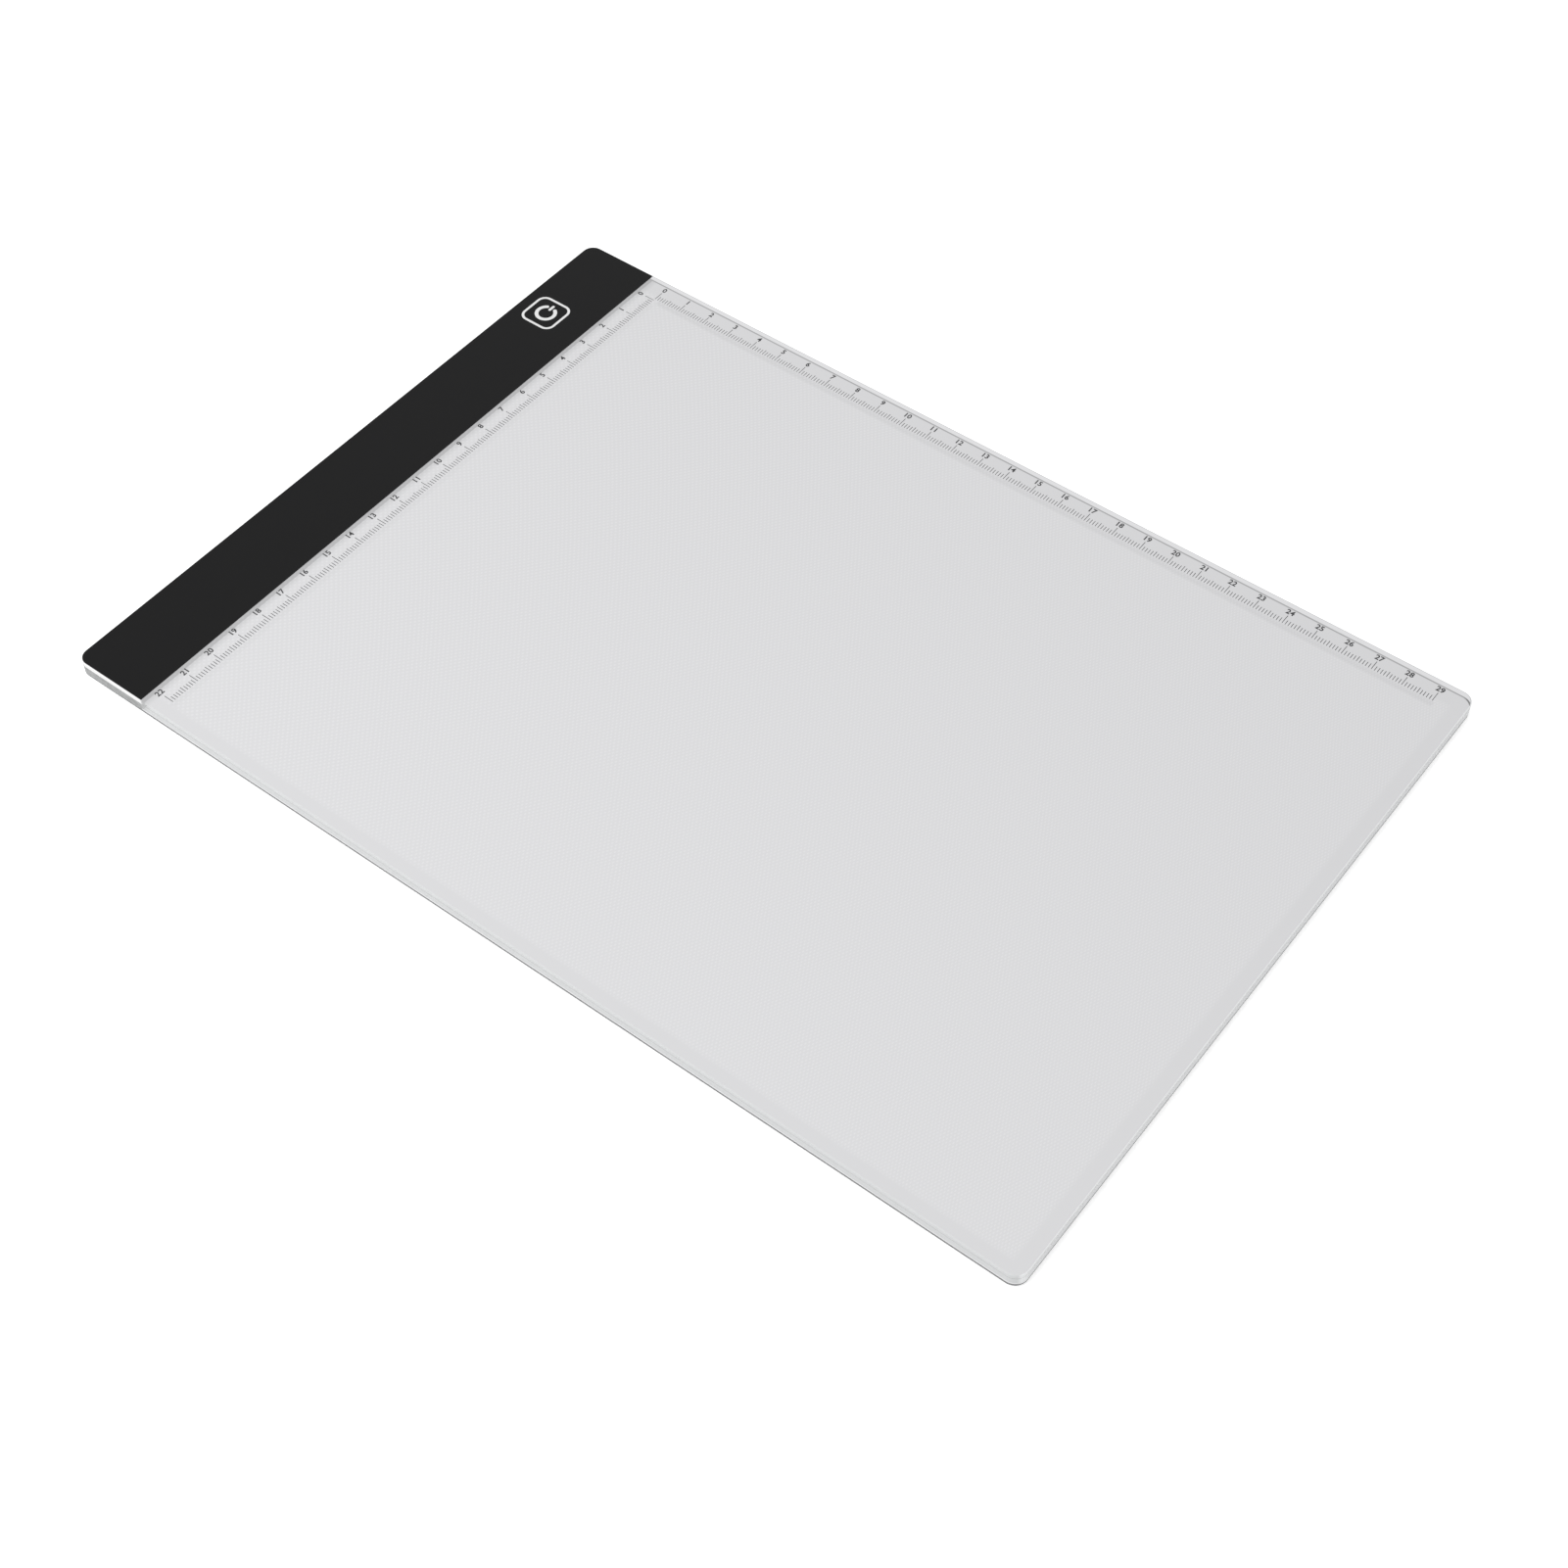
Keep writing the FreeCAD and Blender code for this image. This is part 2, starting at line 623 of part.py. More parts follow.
# ---------------------------------------------------------------------------------------------------
# The frame under the band, and the LED board
# ---------------------------------------------------------------------------------------------------
def make_strip_frame():
    """The clear frame under the band: a bay for the control board, a rib, and the LED channel."""
    body = sheet_body(
        "strip_frame", "0", "0", BACK_TOP, "frame_width", "panel_width", FRAME_HEIGHT, ("left",)
    )
    cuts = new_sketch(body, "cuts")
    inside = "panel_width - 2 * frame_end"
    rectangle(cuts, "frame_wall", "frame_end", "rib_left - frame_wall", inside)
    pocket_up(body, cuts)
    channel = new_sketch(body, "channel")
    channel_left = "rib_left + rib_thickness"
    rectangle(channel, channel_left, "frame_end", f"frame_width - ({channel_left})", inside)
    pocket_up(body, channel)
    lead_gap = new_sketch(body, "lead_gap")
    bind(lead_gap, "AttachmentOffset.Base.z", "lead_gap_floor")
    rectangle(
        lead_gap,
        "rib_left",
        "panel_width - lead_gap_far - lead_gap_width",
        "rib_thickness",
        "lead_gap_width",
    )
    pocket_up(body, lead_gap)
    mouth = new_sketch(body, "socket_mouth")
    mouth_width = "shell_width + 2 * socket_clearance"
    rectangle(mouth, "0", f"panel_width - socket_far - ({mouth_width}) / 2", "frame_wall", mouth_width)
    pocket_up(body, mouth)


def make_led_board():
    """The narrow board that stands on edge, facing the light guide."""
    sheet_body(
        "led_board",
        LED_BOARD_BACK,
        "frame_end + led_board_gap",
        f"{GUIDE_BOTTOM} + guide_thickness / 2 - led_board_height / 2",
        "led_board_thickness",
        "panel_width - 2 * frame_end - 2 * led_board_gap",
        "led_board_height",
    )


def make_led_board_tape():
    """The tape between the rib and the LED board, which stops short of the leads."""
    sheet_body(
        "led_board_tape",
        "rib_left + rib_thickness",
        "frame_end + led_board_gap",
        f"{LED_MIDDLE} - led_board_height / 2",
        "tape_thickness",
        "led_tape_length",
        "led_board_height",
    )


def make_led_packages():
    """The row of white LED packages, each with a recess for its phosphor window."""
    body = new_body(
        "led_packages", LED_BOARD_FRONT, f"{FIRST_LED} - led_width / 2", f"{LED_MIDDLE} - led_height / 2"
    )
    base = new_sketch(body, "base", "YZ_Plane")
    rectangle(base, "0", "0", "led_width", "led_height")
    floor = pad(body, base, "led_depth - window_depth")
    wall = new_sketch(body, "wall", "YZ_Plane")
    bind(wall, "AttachmentOffset.Base.z", "led_depth - window_depth")
    rectangle(wall, "0", "0", "led_width", "led_height")
    rectangle(
        wall,
        "(led_width - window_width) / 2",
        "(led_height - window_height) / 2",
        "window_width",
        "window_height",
    )
    rim = pad(body, wall, "window_depth")
    row = body.newObject("PartDesign::LinearPattern", "led_packages_row")
    row.Originals = [floor, rim]
    row.Direction = (base, ["H_Axis"])
    bind(row, "Occurrences", "led_count")
    bind(row, "Length", "(led_count - 1) * led_pitch")
    body.Tip = row


def make_led_phosphors():
    """The yellow windows in the faces of the LEDs."""
    body = new_body(
        "led_phosphors",
        f"{LED_BOARD_FRONT} + led_depth - window_depth",
        f"{FIRST_LED} - window_width / 2",
        f"{LED_MIDDLE} - window_height / 2",
    )
    sketch = new_sketch(body, "window", "YZ_Plane")
    rectangle(sketch, "0", "0", "window_width", "window_height")
    window = pad(body, sketch, "window_depth")
    repeat(body, window, sketch, "H_Axis", "led_count", "led_pitch")


def make_led_resistors():
    """The series resistors between the LEDs, one for every three."""
    body = new_body(
        "led_resistors",
        LED_BOARD_FRONT,
        f"{FIRST_LED} + led_pitch / 2 - led_resistor_width / 2",
        f"{LED_MIDDLE} - led_resistor_length / 2",
    )
    sketch = new_sketch(body, "chip", "YZ_Plane")
    rectangle(sketch, "0", "0", "led_resistor_width", "led_resistor_length")
    chip = pad(body, sketch, "led_resistor_depth")
    repeat(body, chip, sketch, "H_Axis", "led_resistor_count", "leds_per_resistor * led_pitch")


# ---------------------------------------------------------------------------------------------------
# The control board and what it carries
# ---------------------------------------------------------------------------------------------------
def make_control_board():
    """The board in the bay, with a notch in which the socket hangs."""
    body = sheet_body(
        "control_board",
        "board_left",
        BOARD_NEAR,
        BOARD_BOTTOM,
        "board_width",
        "board_length",
        "board_thickness",
    )
    notch = new_sketch(body, "notch")
    notch_width = "shell_width + 2 * socket_clearance"
    rectangle(
        notch,
        "0",
        f"board_length + board_far - socket_far - ({notch_width}) / 2",
        "socket_mouth + shell_length + socket_clearance - board_left",
        notch_width,
    )
    pocket_up(body, notch)


def make_control_board_tape():
    """The adhesive patch under the board, clear of the notch."""
    sheet_body(
        "control_board_tape",
        "board_left + board_tape_inset",
        f"{BOARD_NEAR} + board_tape_inset",
        BACK_TOP,
        "board_width - 2 * board_tape_inset",
        "board_length - socket_far",
        "tape_thickness",
    )


def socket_outline(sketch, width, height, bevel, rise):
    """The socket's section: a rectangle whose two lower corners are bevelled."""
    half, top, low, cut = value_of(width) / 2, value_of(height), value_of(rise), value_of(bevel)
    corners = [
        Vector(cut - half, low),
        Vector(half - cut, low),
        Vector(half, low + cut),
        Vector(half, low + top),
        Vector(-half, low + top),
        Vector(-half, low + cut),
    ]
    start = sketch.GeometryCount
    for i in range(6):
        sketch.addGeometry(Part.LineSegment(corners[i], corners[(i + 1) % 6]))
    for i in range(6):
        sketch.addConstraint(Sketcher.Constraint("Coincident", start + i, 2, start + (i + 1) % 6, 1))
    for i, side in ((0, "Horizontal"), (2, "Vertical"), (3, "Horizontal"), (4, "Vertical")):
        sketch.addConstraint(Sketcher.Constraint(side, start + i))
    dimension(sketch, "DistanceX", -1, 1, start + 2, 1, f"({width}) / 2")
    dimension(sketch, "DistanceX", start + 4, 1, start + 2, 2, width)
    dimension(sketch, "DistanceY", -1, 1, start, 1, rise)
    dimension(sketch, "DistanceY", start, 1, start + 3, 1, height)
    dimension(sketch, "DistanceX", start, 2, start + 1, 2, bevel)
    dimension(sketch, "DistanceY", start, 2, start + 1, 2, bevel)
    dimension(sketch, "DistanceX", start + 5, 1, start + 5, 2, bevel)
    dimension(sketch, "DistanceY", start + 5, 2, start + 5, 1, bevel)


def make_usb_shell():
    """The steel shell of the micro-USB socket, open at both ends, with two tabs on the board."""
    body = new_body("usb_shell", "socket_mouth", SOCKET_NEAR, SOCKET_BOTTOM)
    section = new_sketch(body, "section", "YZ_Plane")
    socket_outline(section, "shell_width", "shell_height", "shell_bevel", "0")
    socket_outline(section, INNER_WIDTH, INNER_HEIGHT, "inner_bevel", "shell_wall")
    pad(body, section, "shell_length")
    tabs = new_sketch(body, "tabs")
    bind(tabs, "AttachmentOffset.Base.z", f"{BOARD_TOP} - ({SOCKET_BOTTOM})")
    tab_left = "shell_length - shell_tab"
    rectangle(tabs, tab_left, "shell_width / 2 - shell_wall / 2", "shell_tab", "shell_tab + shell_wall / 2")
    rectangle(
        tabs,
        tab_left,
        "-shell_width / 2 - shell_tab",
        "shell_tab",
        "shell_tab + shell_wall / 2",
    )
    pad(body, tabs, "shell_wall")


def make_usb_insulator():
    """The plastic inside the socket: a block that closes the back, and the tongue."""
    block_left = "socket_mouth + shell_length - plug_block"
    body = new_body("usb_insulator", block_left, SOCKET_NEAR, SOCKET_BOTTOM)
    section = new_sketch(body, "section", "YZ_Plane")
    socket_outline(section, INNER_WIDTH, INNER_HEIGHT, "inner_bevel", "shell_wall")
    pad(body, section, "plug_block")
    tongue = new_sketch(body, "tongue")
    bind(tongue, "AttachmentOffset.Base.z", "shell_height / 2")
    rectangle(tongue, "-tongue_length", "-tongue_width / 2", "tongue_length", "tongue_width")
    pad(body, tongue, "tongue_height")


def make_usb_contacts():
    """Five contacts under the tongue."""
    body = new_body(
        "usb_contacts",
        "socket_mouth + shell_length - plug_block - tongue_length + contact_setback",
        f"{SOCKET_NEAR} - (contact_count - 1) / 2 * contact_pitch - contact_width / 2",
        f"{SOCKET_BOTTOM} + shell_height / 2 - contact_thickness",
    )
    sketch = new_sketch(body, "strip")
    rectangle(sketch, "0", "0", "tongue_length - contact_setback", "contact_width")
    strip = pad(body, sketch, "contact_thickness")
    repeat(body, strip, sketch, "V_Axis", "contact_count", "contact_pitch")


def tube_along(points, radius, **tangents):
    """A round solid swept along a smooth curve through the given points."""
    curve = Part.BSplineCurve()
    curve.interpolate(Points=points, **tangents)
    section = Part.Wire(Part.makeCircle(radius, points[0], curve.tangent(curve.FirstParameter)[0]))
    return Part.Wire(curve.toShape()).makePipeShell([section], True, False)


def make_touch_spring():
    """The coil between the board and the panel, the electrode of the touch key."""
    turns, radius = value_of("spring_turns"), value_of("spring_radius")
    travel = value_of(f"{PANEL_BOTTOM} - ({BOARD_TOP}) - 2 * spring_wire")
    steps_per_turn = 16
    steps = round(turns * steps_per_turn)
    coil = []
    for i in range(steps + 1):
        angle = 2 * math.pi * turns * i / steps
        coil.append(Vector(radius * math.cos(angle), radius * math.sin(angle), travel * i / steps))
    spring = doc.addObject("Part::Feature", "touch_spring")
    spring.Shape = tube_along(coil, value_of("spring_wire"))
    place(spring, "key_left", "panel_width - key_far", f"{BOARD_TOP} + spring_wire")
    subpart(spring, "touch_spring")


def make_chips():
    """The plastic bodies of the touch chip and of the LED transistor."""
    height = f"{BOARD_TOP} + chip_standoff"
    for name, label in (("touch_chip", "touch_chip"), ("transistor", "led_transistor")):
        made = block(
            name,
            f"{name}_left",
            f"panel_width - {name}_far - {name}_length",
            height,
            f"{name}_width",
            f"{name}_length",
            f"{name}_height",
        )
        subpart(made, label)


def leg(side, x_face, y_middle, height):
    """One bent leg, from the side of a chip down to the board."""
    sheet_t, reach, foot = value_of("leg_thickness"), value_of("leg_reach"), value_of("leg_foot")
    width = value_of("leg_width")
    profile = [
        (0, height),
        (reach, height),
        (reach, sheet_t),
        (reach + foot - sheet_t, sheet_t),
        (reach + foot - sheet_t, 0),
        (reach - sheet_t, 0),
        (reach - sheet_t, height - sheet_t),
        (0, height - sheet_t),
        (0, height),
    ]
    points = [Vector(x_face + side * x, y_middle - width / 2, z) for x, z in profile]
    return Part.Face(Part.makePolygon(points)).extrude(Vector(0, width, 0))


def chip_legs(name, rows):
    """The legs of one chip: rows of (side, how many, pitch), side -1 on its left and +1 on its right."""
    left = value_of(f"{name}_left")
    right = left + value_of(f"{name}_width")
    middle = value_of(f"panel_width - {name}_far - {name}_length / 2")
    height = value_of(f"chip_standoff + {name}_height / 2")
    legs = []
    for side, count, pitch in rows:
        for i in range(count):
            offset = (i - (count - 1) / 2) * value_of(pitch)
            legs.append(leg(side, right if side > 0 else left, middle + offset, height))
    return legs


def make_chip_legs():
    """The bent sheet legs of both chips, as separate solids."""
    legs = chip_legs("touch_chip", [(-1, 4, "leg_pitch"), (1, 4, "leg_pitch")])
    legs += chip_legs("transistor", [(-1, 2, "2 * transistor_leg_pitch"), (1, 1, "transistor_leg_pitch")])
    made = doc.addObject("Part::Feature", "chip_legs")
    made.Shape = Part.makeCompound(legs)
    place(made, "0", "0", BOARD_TOP)
    subpart(made, "chip_legs")


def make_chip_row(label, name):
    """A row of small chip parts along the board."""
    body = new_body(label, f"{name}_left", f"panel_width - {name}_far", BOARD_TOP)
    sketch = new_sketch(body, "chip")
    rectangle(sketch, "0", "0", f"{name}_length", f"{name}_width")
    chip = pad(body, sketch, f"{name}_height")
    repeat(body, chip, sketch, "V_Axis", f"{name}_count", "chip_part_pitch")


def make_lead(label, near):
    """One insulated lead, bowed a little, from the control board to the back of the LED board."""
    start = Vector(value_of("lead_left"), 0, value_of(f"{BOARD_TOP} + lead_radius"))
    end = Vector(value_of(LED_BOARD_BACK), 0, value_of(LED_MIDDLE))
    middle = (start + end) / 2 + Vector(0, value_of("lead_sway"), 0)
    along = Vector(1, 0, 0)
    made = doc.addObject("Part::Feature", label)
    made.Shape = tube_along(
        [start, middle, end], value_of("lead_radius"), InitialTangent=along, FinalTangent=along
    )
    place(made, "0", near, "0")
    return subpart(made, label)


def make_solder_joints(leads):
    """A dome of solder at each end of both leads, with the lead's own room cut out of it."""
    joints = []
    for lead, near in leads:
        on_board = doc.addObject("Part::Sphere", f"{lead.Label}_board_dome")
        place(on_board, "lead_left", near, BOARD_TOP)
        on_strip = doc.addObject("Part::Sphere", f"{lead.Label}_strip_dome")
        place(on_strip, LED_BOARD_BACK, near, LED_MIDDLE)
        on_strip.Placement.Rotation = FreeCAD.Rotation(Vector(0, 1, 0), -90)
        for dome in (on_board, on_strip):
            bind(dome, "Radius", "solder_radius")
            dome.Angle1 = 0
            joint = doc.addObject("Part::Cut", f"{dome.Name}_joint")
            joint.Base = dome
            joint.Tool = lead
            joints.append(joint)
    made = doc.addObject("Part::Compound", "solder_joints")
    made.Links = joints
    subpart(made, "solder_joints")


# ---------------------------------------------------------------------------------------------------
# Build, test and write
# ---------------------------------------------------------------------------------------------------
make_anti_slip_pads()
make_back_cover()
make_reflector()
make_rim_tape()
make_light_guide()
make_panel_tape()
band = make_strip_print(make_power_key_print())
long_ruler = make_ruler("long_ruler_print", "long_ruler_count", "ruler_far", along_x=True)
short_ruler = make_ruler("short_ruler_print", "short_ruler_count", "short_zero_far", along_x=False)
make_front_panel([band, long_ruler, short_ruler])
make_strip_frame()
make_led_board()
make_led_board_tape()
make_led_packages()
make_led_phosphors()
make_led_resistors()
make_control_board()
make_control_board_tape()
make_usb_shell()
make_usb_insulator()
make_usb_contacts()
make_touch_spring()
make_chips()
make_chip_legs()
make_chip_row("board_capacitors", "capacitor")
make_chip_row("board_resistors", "resistor")
red_lead = make_lead("red_lead", FIRST_LEAD)
black_lead = make_lead("black_lead", SECOND_LEAD)
make_solder_joints([(red_lead, FIRST_LEAD), (black_lead, SECOND_LEAD)])
doc.recompute()

failed = [thing.Label for thing in doc.Objects if {"Invalid", "Error"} & set(thing.State)]
failed += [part.Label for part in SUBPARTS if part.Shape.isNull() or not part.Shape.isValid()]
if failed:
    raise ValueError(f"these objects failed: {failed}")

os.makedirs("parts", exist_ok=True)
for part in SUBPARTS:
    part.Shape.exportStep(f"parts/{part.Label}.step")
    box = part.Shape.BoundBox
    size = f"{box.XLength:.2f} x {box.YLength:.2f} x {box.ZLength:.2f}"
    print(f"{part.Label}: {len(part.Shape.Solids)} solids, {size}")
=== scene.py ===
import json
import math

import bmesh
import bpy
from mathutils import Matrix, Vector


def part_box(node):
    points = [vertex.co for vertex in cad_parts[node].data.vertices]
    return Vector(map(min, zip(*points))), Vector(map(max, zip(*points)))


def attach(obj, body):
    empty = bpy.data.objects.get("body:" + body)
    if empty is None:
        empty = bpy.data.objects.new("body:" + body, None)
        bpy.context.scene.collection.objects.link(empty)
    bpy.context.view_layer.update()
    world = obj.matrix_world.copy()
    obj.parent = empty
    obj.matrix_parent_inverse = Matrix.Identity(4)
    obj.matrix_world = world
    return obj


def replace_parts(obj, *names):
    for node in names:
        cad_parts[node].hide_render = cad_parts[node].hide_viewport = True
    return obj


# A thin edge-lit tracing pad on a pale floor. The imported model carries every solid. This script gives
# each of them a material, adds the printed numbers of both rulers, and rounds the rubber pads.
# Lengths are in metres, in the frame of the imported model: X to the right of the black band, Y towards
# the long ruler, Z up.

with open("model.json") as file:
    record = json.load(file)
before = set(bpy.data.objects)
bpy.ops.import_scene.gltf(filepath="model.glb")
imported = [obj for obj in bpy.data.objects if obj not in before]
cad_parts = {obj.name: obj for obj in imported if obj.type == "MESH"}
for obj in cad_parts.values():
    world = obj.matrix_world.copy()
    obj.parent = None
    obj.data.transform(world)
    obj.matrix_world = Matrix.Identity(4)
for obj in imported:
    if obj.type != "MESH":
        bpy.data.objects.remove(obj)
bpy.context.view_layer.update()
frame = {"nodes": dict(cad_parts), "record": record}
NODES = frame["nodes"]
MM = 0.001

PANEL_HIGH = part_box("front_panel")[1]
GUIDE_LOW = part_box("light_guide_plate")[0]
REFLECTOR_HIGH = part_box("reflector_sheet")[1]
PAD_LOW, PAD_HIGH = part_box("anti_slip_pads")
LONG_LOW, LONG_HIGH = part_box("long_ruler_print")
SHORT_LOW, SHORT_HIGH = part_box("short_ruler_print")

CORNER_RADIUS = 4.0 * MM
SKIN = 0.02 * MM  # a face this near to a height counts as lying at it

# The printing
CENTIMETRE = 10 * MM
TICK_WIDTH = 0.2 * MM
SHORT_TICK = 1.9 * MM  # length of a millimetre tick
DIGIT_HEIGHT = 1.95 * MM
DIGIT_SHARE = 0.72  # height of a digit as a share of the font's size
DIGIT_BOLDNESS = 0.06 * MM  # how far the font's outline is grown
DIGIT_CURVE_STEPS = 3  # straight pieces in each curved stretch of a digit
INK_HEIGHT = 0.02 * MM
WELD = 0.0001 * MM  # points of a number that are this near to each other are one
LONG_LABEL_GAP = 1.55 * MM  # from the long ticks' ends to the middle of the numbers
SHORT_LABEL_GAP = 2.05 * MM

# The rubber pads
PAD_RADIUS = 4.0 * MM
PAD_ROUNDING = 0.35 * MM
PAD_SIDES = 64
PAD_ARC_STEPS = 6

# The white dots under the light guide: rows and columns of a centred lattice. The columns get closer
# with the distance from the LEDs.
DOT_ROW_PITCH = 2.0 * MM
DOT_COLUMNS_AT_LEDS = 510.0  # columns per metre where the light guide starts
DOT_COLUMNS_GROWTH = 1850.0  # and how many more per metre, each metre further on
DOT_EDGES = (0.1, 0.7)  # where the lattice's waves pass from the film to a dot

# The glass cloth in the control board
THREAD_PITCH = 0.6 * MM

# The grain of all materials
NOISE_ROUGHNESS = 0.6  # strength of each finer layer of noise, as a share of the one before it
FINE_DETAIL = 4.0  # layers of noise
BROAD_DETAIL = 2.0
BLOTCH_SHARE = 12  # size of the broad blotches as a multiple of the grain
ROUGHNESS_VARIATION = 0.2  # how far the roughness goes up and down, as a share of itself

# The clear slab
ACRYLIC_IOR = 1.49
ACRYLIC_GRAIN_DEPTH = 0.002 * MM
MATTE_TOP_ROUGHNESS = (0.34, 0.44)  # lowest and highest
PANEL_SIDE_ROUGHNESS = (0.08, 0.16)
GUIDE_ROUGHNESS = (0.06, 0.14)
FRAME_ROUGHNESS = (0.15, 0.35)
SIDE_HIGHLIGHT_COLOUR = (0.90, 0.90, 0.90)  # painted white highlight on the front panel's sides under the black band
FLATTEST_DROP = 0.25  # a ray bent to a flatter slope than this is treated as if it had this slope
SIDE_TINT = (0.98, 0.995, 0.985, 1.0)  # of what is seen through the walls along the long sides
END_TINT_AND_LIGHT = (1.32, 1.335, 1.325, 1.0)  # and through the wall away from the LEDs: the same faint green, painted brighter as painted light

# What the slab shows: the colour of its white underside, and shares of that colour
FIELD_COLOUR = (0.70, 0.70, 0.712)
BETWEEN_DOTS = 0.98
ON_DOTS = 1.04
BORDER = 0.96
MIRRORED_BORDER = 1.07
# Painted shade: the grey line where the slab ends, darker at the corner away from the LEDs
END_SHADE_LINE = 0.56
CORNER_SHADE_LINE = 0.25
# Painted shade along the bevel of the top face
BEVEL_SHADE_LINE = 0.80
# Painted highlight along the foot of the side walls, and the painted shade line under it
FOOT_HIGHLIGHT = 1.18
FOOT_SHADE_LINE = 0.40

# The share of the light that reaches the underside in the shade of the printing
BELOW_LONG_TICKS = 0.93
BELOW_SHORT_TICKS = 0.97
BESIDE_BAND = 0.87
BEFORE_GUIDE = 0.75

# Where the slab's picture changes, and half of the width over which it does
LINE_SOFTNESS = 0.1 * MM
MIRROR_START = 0.3 * MM  # past the end of the slab
END_SHADE_LINE_HALF_WIDTH = 0.25 * MM
BEVEL_SHADE_WIDTH = 0.45 * MM  # in from the top face's edge
FOOT_HIGHLIGHT_HEIGHT = 0.8 * MM  # up from the light guide's underside
FOOT_SHADE_LINE_HEIGHT = 0.3 * MM
BORDER_SOFTNESS = 1.0 * MM
CORNER_REACH = 3.0 * MM  # in from the end away from the LEDs
CORNER_SOFTNESS = 1.0 * MM
SIDE_REACH = 1.0 * MM  # in from the end away from the LEDs
SIDE_SOFTNESS = 0.5 * MM
TICK_SHADE_SOFTNESS = 0.5 * MM
BAND_SHADE_REACH = 1.1 * MM  # right of the light guide's start
BAND_SHADE_SOFTNESS = 1.3 * MM
GAP_REACH = 0.1 * MM  # left of the light guide's start
GAP_SOFTNESS = 0.2 * MM
SIDE_HIGHLIGHT_REACH = 0.5 * MM  # right of the light guide's start
SIDE_HIGHLIGHT_SOFTNESS = 0.5 * MM

# The stage
FLOOR_REACH = 6.0
FLOOR_SQUARES = 8
SURROUND_LIGHT = 0.768  # what the white surroundings shine on the pad
BACKDROP_GLOW = 0.45  # what floor and surroundings show to the camera on top of that
LAMP_SPOT = Vector((-0.30, -0.62, 0.85))
LAMP_SIZE = 0.9
LAMP_POWER = 4.8

# The camera
VIEW_ANGLE = math.radians(34.30)
VIEW_AZIMUTH = math.radians(37.84)
VIEW_ELEVATION = math.radians(51.45)
VIEW_ROLL = math.radians(-0.488)
VIEW_DISTANCE = 716.3 * MM
VIEW_AIM = Vector((27.3 * MM, -29.1 * MM, PANEL_HIGH.z))
VIEW_START = 10 * MM  # nothing nearer to the camera is drawn


# ---------------------------------------------------------------------------------------------------
# Short calls for shader nodes
# ---------------------------------------------------------------------------------------------------
def put(tree, kind, inputs=None, **settings):
    """Adds a node. An input given as a socket is linked, and any other value is set."""
    made = tree.nodes.new(kind)
    for name, value in settings.items():
        setattr(made, name, value)
    for key, value in (inputs or {}).items():
        if isinstance(value, bpy.types.NodeSocket):
            tree.links.new(value, made.inputs[key])
        else:
            made.inputs[key].default_value = value
    return made


def maths(tree, operation, *values):
    """One Math node."""
    return put(tree, "ShaderNodeMath", dict(enumerate(values)), operation=operation).outputs["Value"]


def vector_maths(tree, operation, *values):
    """One Vector Math node. A length comes out as a number."""
    node = put(tree, "ShaderNodeVectorMath", dict(enumerate(values)), operation=operation)
    return node.outputs["Value" if operation == "LENGTH" else "Vector"]


def scaled(tree, vector, factor):
    """A vector made longer by a factor."""
    inputs = {"Vector": vector, "Scale": factor}
    return put(tree, "ShaderNodeVectorMath", inputs, operation="SCALE").outputs["Vector"]


def smooth_step(tree, value, low, high):
    """0 at low, 1 at high, with soft ends. low may be the larger."""
    inputs = {"Value": value, "From Min": low, "From Max": high}
    return put(tree, "ShaderNodeMapRange", inputs, interpolation_type="SMOOTHSTEP").outputs["Result"]


def above(tree, value, border, softness):
    """0 below a border and 1 above it, with a soft change around it."""
    return smooth_step(tree, value, border - softness, border + softness)


def below(tree, value, border, softness):
    """1 below a border and 0 above it, with a soft change around it."""
    return smooth_step(tree, value, border + softness, border - softness)


def spread(tree, value, low, high):
    """Takes 0 to 1 to low to high."""
    inputs = {"Value": value, "To Min": low, "To Max": high}
    return put(tree, "ShaderNodeMapRange", inputs).outputs["Result"]


def blend_colour(tree, factor, first, second):
    """The first colour at 0 and the second at 1."""
    node = put(tree, "ShaderNodeMix", {0: factor, 6: first, 7: second}, data_type="RGBA")
    return node.outputs[2]


def tinted(tree, first, second):
    """One colour multiplied by another."""
    inputs = {0: 1.0, 6: first, 7: second}
    return put(tree, "ShaderNodeMix", inputs, data_type="RGBA", blend_type="MULTIPLY").outputs[2]


def blend_shader(tree, factor, first, second):
    """The first shader at 0 and the second at 1."""
    return put(tree, "ShaderNodeMixShader", {0: factor, 1: first, 2: second}).outputs["Shader"]


def place(tree):
    """The position on the piece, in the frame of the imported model."""
    return put(tree, "ShaderNodeTexCoord").outputs["Object"]


def axes(tree, vector):
    """The three numbers of a vector."""
    return put(tree, "ShaderNodeSeparateXYZ", {0: vector}).outputs


def noise(tree, vector, size, detail=FINE_DETAIL, stretch=(1, 1, 1)):
    """Noise from 0 to 1 whose blotches are about the given size."""
    finer = vector_maths(tree, "MULTIPLY", vector, [1 / (size * s) for s in stretch])
    inputs = {"Vector": finer, "Scale": 1.0, "Detail": detail, "Roughness": NOISE_ROUGHNESS}
    return put(tree, "ShaderNodeTexNoise", inputs).outputs[0]


def bump(tree, height, depth):
    """A normal that rises and falls by the given depth."""
    return put(tree, "ShaderNodeBump", {"Height": height, "Distance": depth}).outputs["Normal"]


def rgba(colour, factor=1.0):
    """A colour with its alpha, made lighter or darker by a factor."""
    return [min(1.0, part * factor) for part in colour] + [1.0]


def new_material(name):
    """An empty material and its node tree."""
    material = bpy.data.materials.new(name)
    material.use_nodes = True
    material.node_tree.nodes.clear()
    return material, material.node_tree


def show(tree, shader):
    """Ends a node tree."""
    put(tree, "ShaderNodeOutputMaterial", {"Surface": shader})


def principled(tree, inputs):
    """One Principled shader."""
    return put(tree, "ShaderNodeBsdfPrincipled", inputs).outputs["BSDF"]


